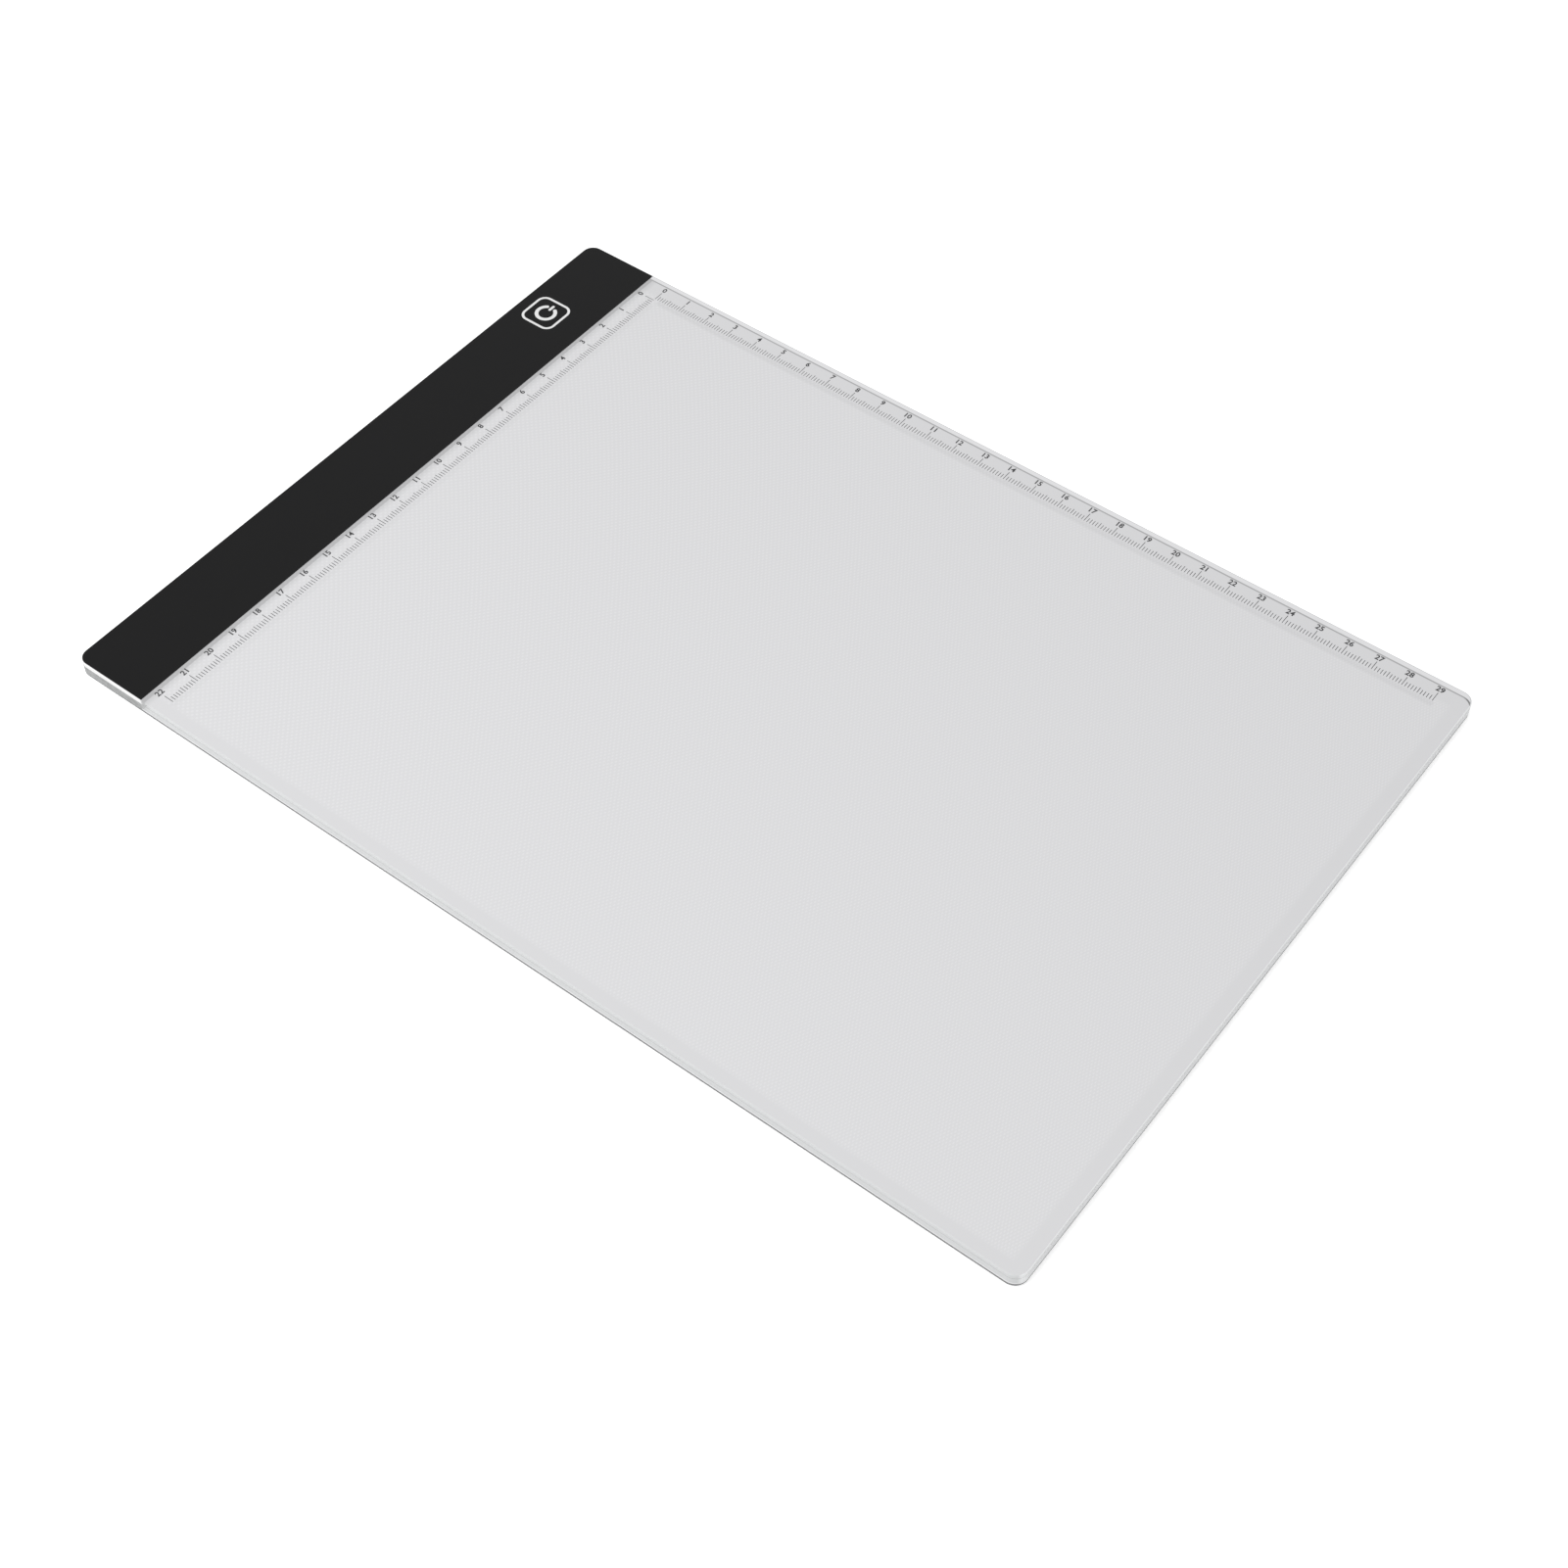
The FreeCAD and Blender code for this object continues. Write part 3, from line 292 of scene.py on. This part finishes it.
def grained(tree, colour, roughness, grain, depth, variation, stretch=(1, 1, 1), **more):
    """A shader whose colour, roughness and height follow a fine grain and broad, faint blotches.

    The grain's size and depth are in millimetres. More inputs have underscores for spaces.
    """
    where = place(tree)
    fine = noise(tree, where, grain * MM, stretch=stretch)
    broad = noise(tree, where, BLOTCH_SHARE * grain * MM, BROAD_DETAIL, stretch)
    tone = maths(tree, "ADD", maths(tree, "MULTIPLY", fine, 0.5), maths(tree, "MULTIPLY", broad, 0.5))
    smoothest = roughness * (1 - ROUGHNESS_VARIATION)
    roughest = min(1.0, roughness * (1 + ROUGHNESS_VARIATION))
    inputs = {
        "Base Color": blend_colour(tree, tone, rgba(colour, 1 - variation), rgba(colour, 1 + variation)),
        "Roughness": spread(tree, fine, smoothest, roughest),
        "Normal": bump(tree, fine, depth * MM),
    }
    inputs.update({key.replace("_", " "): value for key, value in more.items()})
    return principled(tree, inputs)


def plain_material(name, **look):
    """A material that is one grained shader."""
    material, tree = new_material(name)
    show(tree, grained(tree, **look))
    return material


def edge_distance(tree, where):
    """How far a point lies inside the pad's rounded outline, seen from above."""
    half = Vector((PANEL_HIGH.x - CORNER_RADIUS, PANEL_HIGH.y - CORNER_RADIUS, 0))
    flat = vector_maths(tree, "MULTIPLY", where, (1, 1, 0))
    beyond = vector_maths(tree, "SUBTRACT", vector_maths(tree, "ABSOLUTE", flat), half)
    parts = axes(tree, beyond)
    corner = vector_maths(tree, "LENGTH", vector_maths(tree, "MAXIMUM", beyond, (0, 0, 0)))
    side = maths(tree, "MINIMUM", maths(tree, "MAXIMUM", parts[0], parts[1]), 0.0)
    return maths(tree, "SUBTRACT", CORNER_RADIUS, maths(tree, "ADD", corner, side))


# ---------------------------------------------------------------------------------------------------
# The clear pieces. The slab of front panel and light guide is drawn as one surface that shows what lies
# under it: each point takes the colour of the spot on the white underside to which a ray would be bent.
# ---------------------------------------------------------------------------------------------------
def bent_to_underside(tree, where):
    """The point of the light guide's underside that is seen at a place on the slab."""
    look = put(tree, "ShaderNodeNewGeometry").outputs
    sight = scaled(tree, look["Incoming"], -1.0)
    inputs = {0: sight, 1: look["Normal"], "Scale": 1 / ACRYLIC_IOR}
    bent = put(tree, "ShaderNodeVectorMath", inputs, operation="REFRACT").outputs["Vector"]
    drop = maths(tree, "MAXIMUM", maths(tree, "MULTIPLY", axes(tree, bent)["Z"], -1.0), FLATTEST_DROP)
    depth = maths(tree, "SUBTRACT", axes(tree, where)["Z"], GUIDE_LOW.z)
    return vector_maths(tree, "ADD", where, scaled(tree, bent, maths(tree, "DIVIDE", depth, drop)))


def dots(tree, spot):
    """1 on the white dots of the underside and 0 between them."""
    parts = axes(tree, spot)
    along = maths(tree, "SUBTRACT", parts["X"], GUIDE_LOW.x)
    growth = maths(tree, "MULTIPLY", along, DOT_COLUMNS_GROWTH / 2)
    column = maths(tree, "MULTIPLY", along, maths(tree, "ADD", growth, DOT_COLUMNS_AT_LEDS))
    row = maths(tree, "DIVIDE", parts["Y"], DOT_ROW_PITCH)
    waves = [maths(tree, "COSINE", maths(tree, "MULTIPLY", count, 2 * math.pi)) for count in (column, row)]
    return smooth_step(tree, maths(tree, "MULTIPLY", *waves), *DOT_EDGES)


def soft_rectangle(tree, spot, low, high):
    """1 inside a rectangle of the underside and 0 away from it, with soft edges."""
    parts = axes(tree, spot)
    inside = 1.0
    for axis in range(2):
        after_low = above(tree, parts[axis], low[axis], TICK_SHADE_SOFTNESS)
        before_high = below(tree, parts[axis], high[axis], TICK_SHADE_SOFTNESS)
        inside = maths(tree, "MULTIPLY", inside, maths(tree, "MULTIPLY", after_low, before_high))
    return inside


def light_past_prints(tree, spot):
    """The share of the light that the ticks and the black band let through to a spot below them."""
    along = axes(tree, spot)["X"]
    long_ticks = soft_rectangle(tree, spot, LONG_LOW, (LONG_HIGH.x, LONG_LOW.y + SHORT_TICK))
    short_ticks = soft_rectangle(tree, spot, (SHORT_HIGH.x - SHORT_TICK, SHORT_LOW.y), SHORT_HIGH)
    beside_band = below(tree, along, GUIDE_LOW.x + BAND_SHADE_REACH, BAND_SHADE_SOFTNESS)
    before_guide = below(tree, along, GUIDE_LOW.x - GAP_REACH, GAP_SOFTNESS)
    shades = (
        (long_ticks, BELOW_LONG_TICKS),
        (short_ticks, BELOW_SHORT_TICKS),
        (beside_band, BESIDE_BAND),
        (before_guide, BEFORE_GUIDE),
    )
    light = 1.0
    for shade, share in shades:
        light = maths(tree, "MULTIPLY", light, spread(tree, shade, 1.0, share))
    return light


def field(share):
    """The colour of the underside, lighter or darker."""
    return rgba(FIELD_COLOUR, share)


def underside_colour(tree, spot):
    """White dots on white film with a plain, slightly darker border, all in the shade of the printing."""
    dotted = blend_colour(tree, dots(tree, spot), field(BETWEEN_DOTS), field(ON_DOTS))
    inside = maths(tree, "ABSOLUTE", edge_distance(tree, spot))
    past_border = above(tree, inside, PANEL_HIGH.y - REFLECTOR_HIGH.y, BORDER_SOFTNESS)
    lit = blend_colour(tree, past_border, field(BORDER), dotted)
    light = put(tree, "ShaderNodeCombineColor", dict.fromkeys(range(3), light_past_prints(tree, spot)))
    return tinted(tree, lit, light.outputs["Color"])


def seen_from_above(tree, where, spot):
    """The underside with a grey line of painted shade where the slab ends.

    Past that line the side wall mirrors the border, brighter for the light that comes in there, up to
    a thin line of painted shade along the bevel. The grey line is darkest around the corner away from the
    LEDs.
    """
    distance = edge_distance(tree, spot)
    mirrored = below(tree, distance, -MIRROR_START, LINE_SOFTNESS)
    walled = blend_colour(tree, mirrored, underside_colour(tree, spot), field(MIRRORED_BORDER))
    # Painted shade: a grey line where the slab ends, darkest at the corner away from the LEDs
    on_shade_line = below(tree, maths(tree, "ABSOLUTE", distance), END_SHADE_LINE_HALF_WIDTH, LINE_SOFTNESS)
    at_corner_shade = above(tree, axes(tree, spot)["X"], PANEL_HIGH.x - CORNER_REACH, CORNER_SOFTNESS)
    shade_line_colour = blend_colour(tree, at_corner_shade, field(END_SHADE_LINE), field(CORNER_SHADE_LINE))
    shade_lined = blend_colour(tree, on_shade_line, walled, shade_line_colour)
    past_end = maths(tree, "LESS_THAN", distance, 0.0)
    # Painted shade along the bevel, past the slab's end
    on_bevel_shade = below(tree, edge_distance(tree, where), BEVEL_SHADE_WIDTH, LINE_SOFTNESS)
    return blend_colour(tree, maths(tree, "MULTIPLY", on_bevel_shade, past_end), shade_lined, field(BEVEL_SHADE_LINE))


def seen_from_the_side(tree, where, spot):
    """The underside through a side wall, a little green, and painted brighter at the end away from the
    LEDs.

    Along the long sides the foot of the wall carries a painted highlight, with a line of painted shade
    under it.
    """
    parts = axes(tree, where)
    height = maths(tree, "SUBTRACT", parts["Z"], GUIDE_LOW.z)
    along_side = below(tree, parts["X"], PANEL_HIGH.x - SIDE_REACH, SIDE_SOFTNESS)
    # The end wall away from the LEDs is painted brighter, as painted light, with a faint green
    tint_and_light = blend_colour(tree, along_side, END_TINT_AND_LIGHT, SIDE_TINT)
    through_wall = tinted(tree, underside_colour(tree, spot), tint_and_light)
    # Painted highlight on the wall's foot, with a painted shade line under it
    on_foot_highlight = below(tree, height, FOOT_HIGHLIGHT_HEIGHT, LINE_SOFTNESS)
    on_shade_line = below(tree, height, FOOT_SHADE_LINE_HEIGHT, LINE_SOFTNESS)
    foot_highlight_and_shade = blend_colour(tree, on_shade_line, field(FOOT_HIGHLIGHT), field(FOOT_SHADE_LINE))
    return blend_colour(tree, maths(tree, "MULTIPLY", on_foot_highlight, along_side), through_wall, foot_highlight_and_shade)


def slab(tree, colour, roughness, grain):
    """The slab's skin over a colour seen through it."""
    inputs = {
        "Base Color": colour,
        "Roughness": roughness,
        "IOR": ACRYLIC_IOR,
        "Normal": bump(tree, grain, ACRYLIC_GRAIN_DEPTH),
    }
    return principled(tree, inputs)


def clear_acrylic():
    """The front panel: a fine matte top face over polished sides, with a painted white highlight on the
    sides under the band.
    """
    material, tree = new_material("clear_acrylic")
    where = place(tree)
    parts = axes(tree, where)
    grain = noise(tree, where, 0.25 * MM)
    spot = bent_to_underside(tree, where)
    right_of_band = above(tree, parts["X"], GUIDE_LOW.x + SIDE_HIGHLIGHT_REACH, SIDE_HIGHLIGHT_SOFTNESS)
    wall = seen_from_the_side(tree, where, spot)
    # Painted white highlight on the panel's sides under the band
    side = blend_colour(tree, right_of_band, rgba(SIDE_HIGHLIGHT_COLOUR), wall)
    on_top = smooth_step(tree, parts["Z"], PANEL_HIGH.z - 2 * SKIN, PANEL_HIGH.z - SKIN)
    colour = blend_colour(tree, on_top, side, seen_from_above(tree, where, spot))
    matte = spread(tree, grain, *MATTE_TOP_ROUGHNESS)
    polish = spread(tree, noise(tree, where, 1.5 * MM), *PANEL_SIDE_ROUGHNESS)
    roughness = maths(tree, "MULTIPLY_ADD", on_top, maths(tree, "SUBTRACT", matte, polish), polish)
    show(tree, slab(tree, colour, roughness, grain))
    return material


def guide_acrylic():
    """The light guide: polished clear acrylic over its white underside."""
    material, tree = new_material("guide_acrylic")
    where = place(tree)
    haze = noise(tree, where, 2 * MM, stretch=(1, 1, 3))
    seen = seen_from_the_side(tree, where, bent_to_underside(tree, where))
    show(tree, slab(tree, seen, spread(tree, haze, *GUIDE_ROUGHNESS), haze))
    return material


def frame_acrylic():
    """The frame under the band: clear acrylic, grey and streaked where the router has cut it."""
    material, tree = new_material("frame_acrylic")
    where = place(tree)
    cuts = noise(tree, where, 0.5 * MM, stretch=(5, 5, 1))
    haze = noise(tree, where, 4 * MM)
    tone = maths(tree, "MULTIPLY_ADD", cuts, 0.6, maths(tree, "MULTIPLY", haze, 0.4))
    paler = smooth_step(tree, tone, 0.3, 0.7)
    colour = blend_colour(tree, paler, rgba((0.23, 0.235, 0.235)), rgba((0.43, 0.44, 0.44)))
    show(tree, slab(tree, colour, spread(tree, cuts, *FRAME_ROUGHNESS), cuts))
    return material


def clear_tape():
    """Thin adhesive tape, a little uneven: only its edge shows, coloured dark grey as painted shade."""
    return plain_material(
        "clear_tape",
        # Dark grey: painted shade at the tape's edge
        colour=(0.22, 0.225, 0.225),
        roughness=0.4,
        grain=0.4,
        depth=0.006,
        variation=0.12,
    )


# ---------------------------------------------------------------------------------------------------
# The printing and the sheets
# ---------------------------------------------------------------------------------------------------
def black_band_ink():
    """Satin black screen print, with the faint orange peel of a thick ink."""
    return plain_material(
        "black_band_ink",
        colour=(0.006, 0.006, 0.0063),
        roughness=0.42,
        grain=0.35,
        depth=0.004,
        variation=0.12,
        Specular_IOR_Level=0.15,
    )


def white_key_ink():
    """White print over the black."""
    return plain_material(
        "white_key_ink",
        colour=(0.80, 0.80, 0.80),
        roughness=0.5,
        grain=0.2,
        depth=0.003,
        variation=0.03,
    )


def ruler_ink():
    """Thin dark print, a little uneven in its cover."""
    return plain_material(
        "ruler_ink",
        colour=(0.03, 0.03, 0.033),
        roughness=0.5,
        grain=0.12,
        depth=0.003,
        variation=0.35,
    )


def reflector_film():
    """White film with a soft sheen."""
    return plain_material(
        "reflector_film",
        colour=(0.85, 0.85, 0.86),
        roughness=0.45,
        grain=0.4,
        depth=0.003,
        variation=0.03,
    )


def back_sheet():
    """The back cover: pale satin plastic with a moulded grain, its cut edge painted dark grey as painted
    shade.
    """
    material, tree = new_material("back_sheet")
    where = place(tree)
    face = grained(tree, (0.62, 0.63, 0.64), roughness=0.5, grain=0.5, depth=0.012, variation=0.04)
    # The cut edge's near-black is painted shade along the pad's bottom edge
    cut = grained(tree, (0.09, 0.092, 0.095), roughness=0.6, grain=0.25, depth=0.01, variation=0.15)
    edge = smooth_step(tree, edge_distance(tree, where), 2 * SKIN, SKIN)
    show(tree, blend_shader(tree, edge, face, cut))
    return material


def pad_rubber():
    """Soft pale rubber, dull and faintly mottled."""
    return plain_material(
        "pad_rubber",
        colour=(0.55, 0.55, 0.54),
        roughness=0.75,
        grain=0.3,
        depth=0.02,
        variation=0.08,
    )


def white_tape():
    """White foam tape with small cells."""
    return plain_material(
        "white_tape",
        colour=(0.75, 0.75, 0.74),
        roughness=0.8,
        grain=0.25,
        depth=0.03,
        variation=0.08,
    )


# ---------------------------------------------------------------------------------------------------
# The electronics
# ---------------------------------------------------------------------------------------------------
def led_board_white():
    """White solder mask."""
    return plain_material(
        "led_board_white",
        colour=(0.78, 0.78, 0.76),
        roughness=0.35,
        grain=0.2,
        depth=0.003,
        variation=0.04,
    )


def led_package_white():
    """White moulded resin."""
    return plain_material(
        "led_package_white",
        colour=(0.82, 0.82, 0.80),
        roughness=0.45,
        grain=0.1,
        depth=0.004,
        variation=0.03,
    )


def led_phosphor():
    """Yellow phosphor in clear gel."""
    return plain_material(
        "led_phosphor",
        colour=(0.85, 0.66, 0.12),
        roughness=0.25,
        grain=0.08,
        depth=0.003,
        variation=0.12,
        Coat_Weight=0.5,
    )


def control_board_green():
    """Green solder mask with the woven glass showing through."""
    material, tree = new_material("control_board_green")
    where = place(tree)
    parts = axes(tree, where)
    turns = 2 * math.pi / THREAD_PITCH
    threads = [maths(tree, "SINE", maths(tree, "MULTIPLY", parts[axis], turns)) for axis in "XY"]
    weave = maths(tree, "MULTIPLY_ADD", maths(tree, "MULTIPLY", *threads), 0.5, 0.5)
    grain = noise(tree, where, 0.15 * MM)
    inputs = {
        "Base Color": blend_colour(tree, weave, rgba((0.015, 0.14, 0.05)), rgba((0.025, 0.20, 0.08))),
        "Roughness": spread(tree, grain, 0.28, 0.42),
        "Normal": bump(tree, weave, 0.006 * MM),
    }
    show(tree, principled(tree, inputs))
    return material


def socket_steel():
    """Nickel-plated sheet with drawn lines along the socket."""
    return plain_material(
        "socket_steel",
        colour=(0.62, 0.61, 0.58),
        roughness=0.3,
        grain=0.06,
        depth=0.003,
        variation=0.1,
        stretch=(12, 1, 1),
        Metallic=1.0,
    )


def black_plastic():
    """Moulded black plastic with a matte, sandy skin."""
    return plain_material(
        "black_plastic",
        colour=(0.018, 0.018, 0.02),
        roughness=0.55,
        grain=0.08,
        depth=0.008,
        variation=0.2,
    )


def contact_gold():
    """Gold flash over bronze."""
    return plain_material(
        "contact_gold",
        colour=(0.80, 0.55, 0.20),
        roughness=0.25,
        grain=0.05,
        depth=0.002,
        variation=0.12,
        Metallic=1.0,
    )


def spring_steel():
    """Drawn and plated wire."""
    return plain_material(
        "spring_steel",
        colour=(0.60, 0.60, 0.60),
        roughness=0.28,
        grain=0.05,
        depth=0.002,
        variation=0.12,
        Metallic=1.0,
    )


def tinned_metal():
    """Tin, softly rippled."""
    return plain_material(
        "tinned_metal",
        colour=(0.66, 0.66, 0.68),
        roughness=0.32,
        grain=0.15,
        depth=0.01,
        variation=0.1,
        Metallic=1.0,
    )


def capacitor_ceramic():
    """Fired brown ceramic."""
    return plain_material(
        "capacitor_ceramic",
        colour=(0.36, 0.22, 0.11),
        roughness=0.55,
        grain=0.08,
        depth=0.006,
        variation=0.15,
    )


def resistor_ceramic():
    """Black resistive film under glaze."""
    return plain_material(
        "resistor_ceramic",
        colour=(0.02, 0.02, 0.022),
        roughness=0.3,
        grain=0.06,
        depth=0.003,
        variation=0.25,
    )


def red_insulation():
    """Red extruded insulation."""
    return plain_material(
        "red_insulation",
        colour=(0.42, 0.012, 0.012),
        roughness=0.35,
        grain=0.1,
        depth=0.004,
        variation=0.12,
    )


def black_insulation():
    """Black extruded insulation."""
    return plain_material(
        "black_insulation",
        colour=(0.02, 0.02, 0.02),
        roughness=0.35,
        grain=0.1,
        depth=0.004,
        variation=0.2,
    )


MATERIALS = {
    make.__name__: make()
    for make in (
        clear_acrylic,
        guide_acrylic,
        frame_acrylic,
        clear_tape,
        black_band_ink,
        white_key_ink,
        ruler_ink,
        reflector_film,
        back_sheet,
        pad_rubber,
        white_tape,
        led_board_white,
        led_package_white,
        led_phosphor,
        control_board_green,
        socket_steel,
        black_plastic,
        contact_gold,
        spring_steel,
        tinned_metal,
        capacitor_ceramic,
        resistor_ceramic,
        red_insulation,
        black_insulation,
    )
}


def paint_nodes():
    """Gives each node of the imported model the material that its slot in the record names."""
    for entry in frame["record"]["subparts"]:
        node = NODES[entry["node"]]
        if not node.material_slots:
            node.data.materials.append(None)
        for slot in node.material_slots:
            slot.material = MATERIALS[entry["material_slot"]]


# ---------------------------------------------------------------------------------------------------
# Pieces made here
# ---------------------------------------------------------------------------------------------------
def add_piece(name, shape, slot):
    """A new piece from a bmesh, painted from a slot of the record and riding on the pad."""
    mesh = bpy.data.meshes.new(name)
    bmesh.ops.recalc_face_normals(shape, faces=shape.faces)
    shape.to_mesh(mesh)
    shape.free()
    mesh.materials.append(MATERIALS[slot])
    piece = bpy.data.objects.new(name, mesh)
    bpy.context.scene.collection.objects.link(piece)
    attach(piece, "root")
    return piece


def add_number(shape, text, spot):
    """Adds one printed number to a bmesh, as a thin closed solid centred on a spot."""
    curve = bpy.data.curves.new("number", "FONT")
    curve.body = text
    curve.size = DIGIT_HEIGHT / DIGIT_SHARE
    curve.extrude = INK_HEIGHT
    curve.offset = DIGIT_BOLDNESS
    curve.resolution_u = DIGIT_CURVE_STEPS
    holder = bpy.data.objects.new("number", curve)
    bpy.context.scene.collection.objects.link(holder)
    mesh = bpy.data.meshes.new_from_object(holder.evaluated_get(bpy.context.evaluated_depsgraph_get()))
    corners = [Vector(corner) for corner in holder.bound_box]
    mesh.transform(spot @ Matrix.Translation(-sum(corners, Vector()) / len(corners)))
    shape.from_mesh(mesh)
    bpy.data.objects.remove(holder)
    bpy.data.curves.remove(curve)
    bpy.data.meshes.remove(mesh)


def add_ruler_numbers(name, length, zero, step, turn):
    """The numbers of one ruler: 0 at a spot and the others a step apart, all turned the same way."""
    shape = bmesh.new()
    for number in range(round(length / CENTIMETRE) + 1):
        add_number(shape, str(number), Matrix.Translation(zero + number * step) @ turn)
    bmesh.ops.remove_doubles(shape, verts=shape.verts, dist=WELD)
    add_piece(name, shape, "ruler_ink")


def add_long_ruler_numbers():
    """The numbers of the long ruler, read from its near side."""
    zero = Vector((LONG_LOW.x + TICK_WIDTH / 2, LONG_HIGH.y + LONG_LABEL_GAP, PANEL_HIGH.z))
    step = Vector((CENTIMETRE, 0, 0))
    add_ruler_numbers("long_ruler_numbers", LONG_HIGH.x - LONG_LOW.x, zero, step, Matrix())


def add_short_ruler_numbers():
    """The numbers of the short ruler, read from the right."""
    zero = Vector((SHORT_LOW.x - SHORT_LABEL_GAP, SHORT_HIGH.y - TICK_WIDTH / 2, PANEL_HIGH.z))
    step = Vector((0, -CENTIMETRE, 0))
    quarter_turn = Matrix.Rotation(math.pi / 2, 4, "Z")
    add_ruler_numbers("short_ruler_numbers", SHORT_HIGH.y - SHORT_LOW.y, zero, step, quarter_turn)


def add_ring(shape, centre, radius, height):
    """One ring of points."""
    angles = [2 * math.pi * i / PAD_SIDES for i in range(PAD_SIDES)]
    return [
        shape.verts.new((centre.x + radius * math.cos(a), centre.y + radius * math.sin(a), height))
        for a in angles
    ]


def add_pad(shape, centre):
    """One rubber pad: a disc whose lower edge is rounded."""
    rings = [add_ring(shape, centre, PAD_RADIUS, PAD_HIGH.z)]
    for step in range(PAD_ARC_STEPS + 1):
        angle = math.pi / 2 * step / PAD_ARC_STEPS
        radius = PAD_RADIUS - PAD_ROUNDING * (1 - math.cos(angle))
        rings.append(add_ring(shape, centre, radius, PAD_LOW.z + PAD_ROUNDING * (1 - math.sin(angle))))
    for upper, lower in zip(rings, rings[1:]):
        for i in range(PAD_SIDES):
            after = (i + 1) % PAD_SIDES
            side = shape.faces.new((upper[i], upper[after], lower[after], lower[i]))
            side.smooth = True
    shape.faces.new(rings[0])
    shape.faces.new(rings[-1])


def add_pads():
    """The four rubber pads, in the places of the model's plain discs."""
    shape = bmesh.new()
    for x in (PAD_LOW.x + PAD_RADIUS, PAD_HIGH.x - PAD_RADIUS):
        for y in (PAD_LOW.y + PAD_RADIUS, PAD_HIGH.y - PAD_RADIUS):
            add_pad(shape, Vector((x, y)))
    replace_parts(add_piece("rounded_anti_slip_pads", shape, "pad_rubber"), "anti_slip_pads")


# ---------------------------------------------------------------------------------------------------
# The stage
# ---------------------------------------------------------------------------------------------------
def seen_by_camera(tree):
    """1 where the camera looks straight at a surface, and 0 for the light that it sends to others."""
    return put(tree, "ShaderNodeLightPath").outputs["Is Camera Ray"]


def camera_below(tree):
    """1 for a camera that is lower than the floor."""
    turn = {"convert_from": "CAMERA", "convert_to": "WORLD", "vector_type": "POINT"}
    found = put(tree, "ShaderNodeVectorTransform", {"Vector": (0.0, 0.0, 0.0)}, **turn)
    return maths(tree, "LESS_THAN", axes(tree, found.outputs["Vector"])["Z"], 0.0)


def floor_paper():
    """White paper that looks brighter to the camera than it shines on the pad, like a lit backdrop.

    It is not there for a camera below it, so that the underside can be looked at.
    """
    material, tree = new_material("floor_paper")
    paper = grained(tree, (0.90, 0.90, 0.90), roughness=0.8, grain=1.5, depth=0.01, variation=0.01)
    strength = maths(tree, "MULTIPLY", seen_by_camera(tree), BACKDROP_GLOW)
    glow = put(tree, "ShaderNodeEmission", {"Strength": strength})
    lit_paper = put(tree, "ShaderNodeAddShader", {0: paper, 1: glow.outputs[0]}).outputs[0]
    nothing = put(tree, "ShaderNodeBsdfTransparent").outputs[0]
    show(tree, blend_shader(tree, camera_below(tree), lit_paper, nothing))
    return material


def add_floor():
    """A wide pale floor."""
    shape = bmesh.new()
    bmesh.ops.create_grid(shape, x_segments=FLOOR_SQUARES, y_segments=FLOOR_SQUARES, size=FLOOR_REACH)
    bmesh.ops.translate(shape, vec=(0, 0, -SKIN), verts=shape.verts)
    mesh = bpy.data.meshes.new("floor")
    shape.to_mesh(mesh)
    shape.free()
    mesh.materials.append(floor_paper())
    floor = bpy.data.objects.new("floor", mesh)
    bpy.context.scene.collection.objects.link(floor)


def add_lamp():
    """One broad square lamp that points at the middle of the pad."""
    lamp = bpy.data.lights.new("broad_lamp", "AREA")
    lamp.size = LAMP_SIZE
    lamp.energy = LAMP_POWER
    holder = bpy.data.objects.new("broad_lamp", lamp)
    holder.location = LAMP_SPOT
    holder.rotation_euler = (-LAMP_SPOT).to_track_quat("-Z", "Y").to_euler()
    bpy.context.scene.collection.objects.link(holder)


def light_scene():
    """White surroundings and one lamp, shown without a film curve."""
    world = bpy.data.worlds.new("studio")
    world.use_nodes = True
    tree = world.node_tree
    background = tree.nodes["Background"]
    background.inputs["Color"].default_value = (1.0, 1.0, 1.0, 1.0)
    strength = maths(tree, "MULTIPLY_ADD", seen_by_camera(tree), BACKDROP_GLOW, SURROUND_LIGHT)
    tree.links.new(strength, background.inputs["Strength"])
    scene = bpy.context.scene
    scene.world = world
    add_lamp()
    scene.view_settings.view_transform = "Standard"
    scene.cycles.use_denoising = True
    scene.cycles.denoising_prefilter = "NONE"


def add_camera():
    """The camera, at the angle that the pad is shown from."""
    back = Vector(
        (
            math.sin(VIEW_AZIMUTH) * math.cos(VIEW_ELEVATION),
            -math.cos(VIEW_AZIMUTH) * math.cos(VIEW_ELEVATION),
            math.sin(VIEW_ELEVATION),
        )
    )
    camera = bpy.data.objects.new("camera", bpy.data.cameras.new("camera"))
    camera.data.angle = VIEW_ANGLE
    camera.data.clip_start = VIEW_START
    camera.location = VIEW_AIM + back * VIEW_DISTANCE
    turn = (-back).to_track_quat("-Z", "Y").to_matrix() @ Matrix.Rotation(VIEW_ROLL, 3, "Z")
    camera.rotation_euler = turn.to_euler()
    bpy.context.scene.collection.objects.link(camera)
    bpy.context.scene.camera = camera


paint_nodes()
add_long_ruler_numbers()
add_short_ruler_numbers()
add_pads()
add_floor()
light_scene()
add_camera()
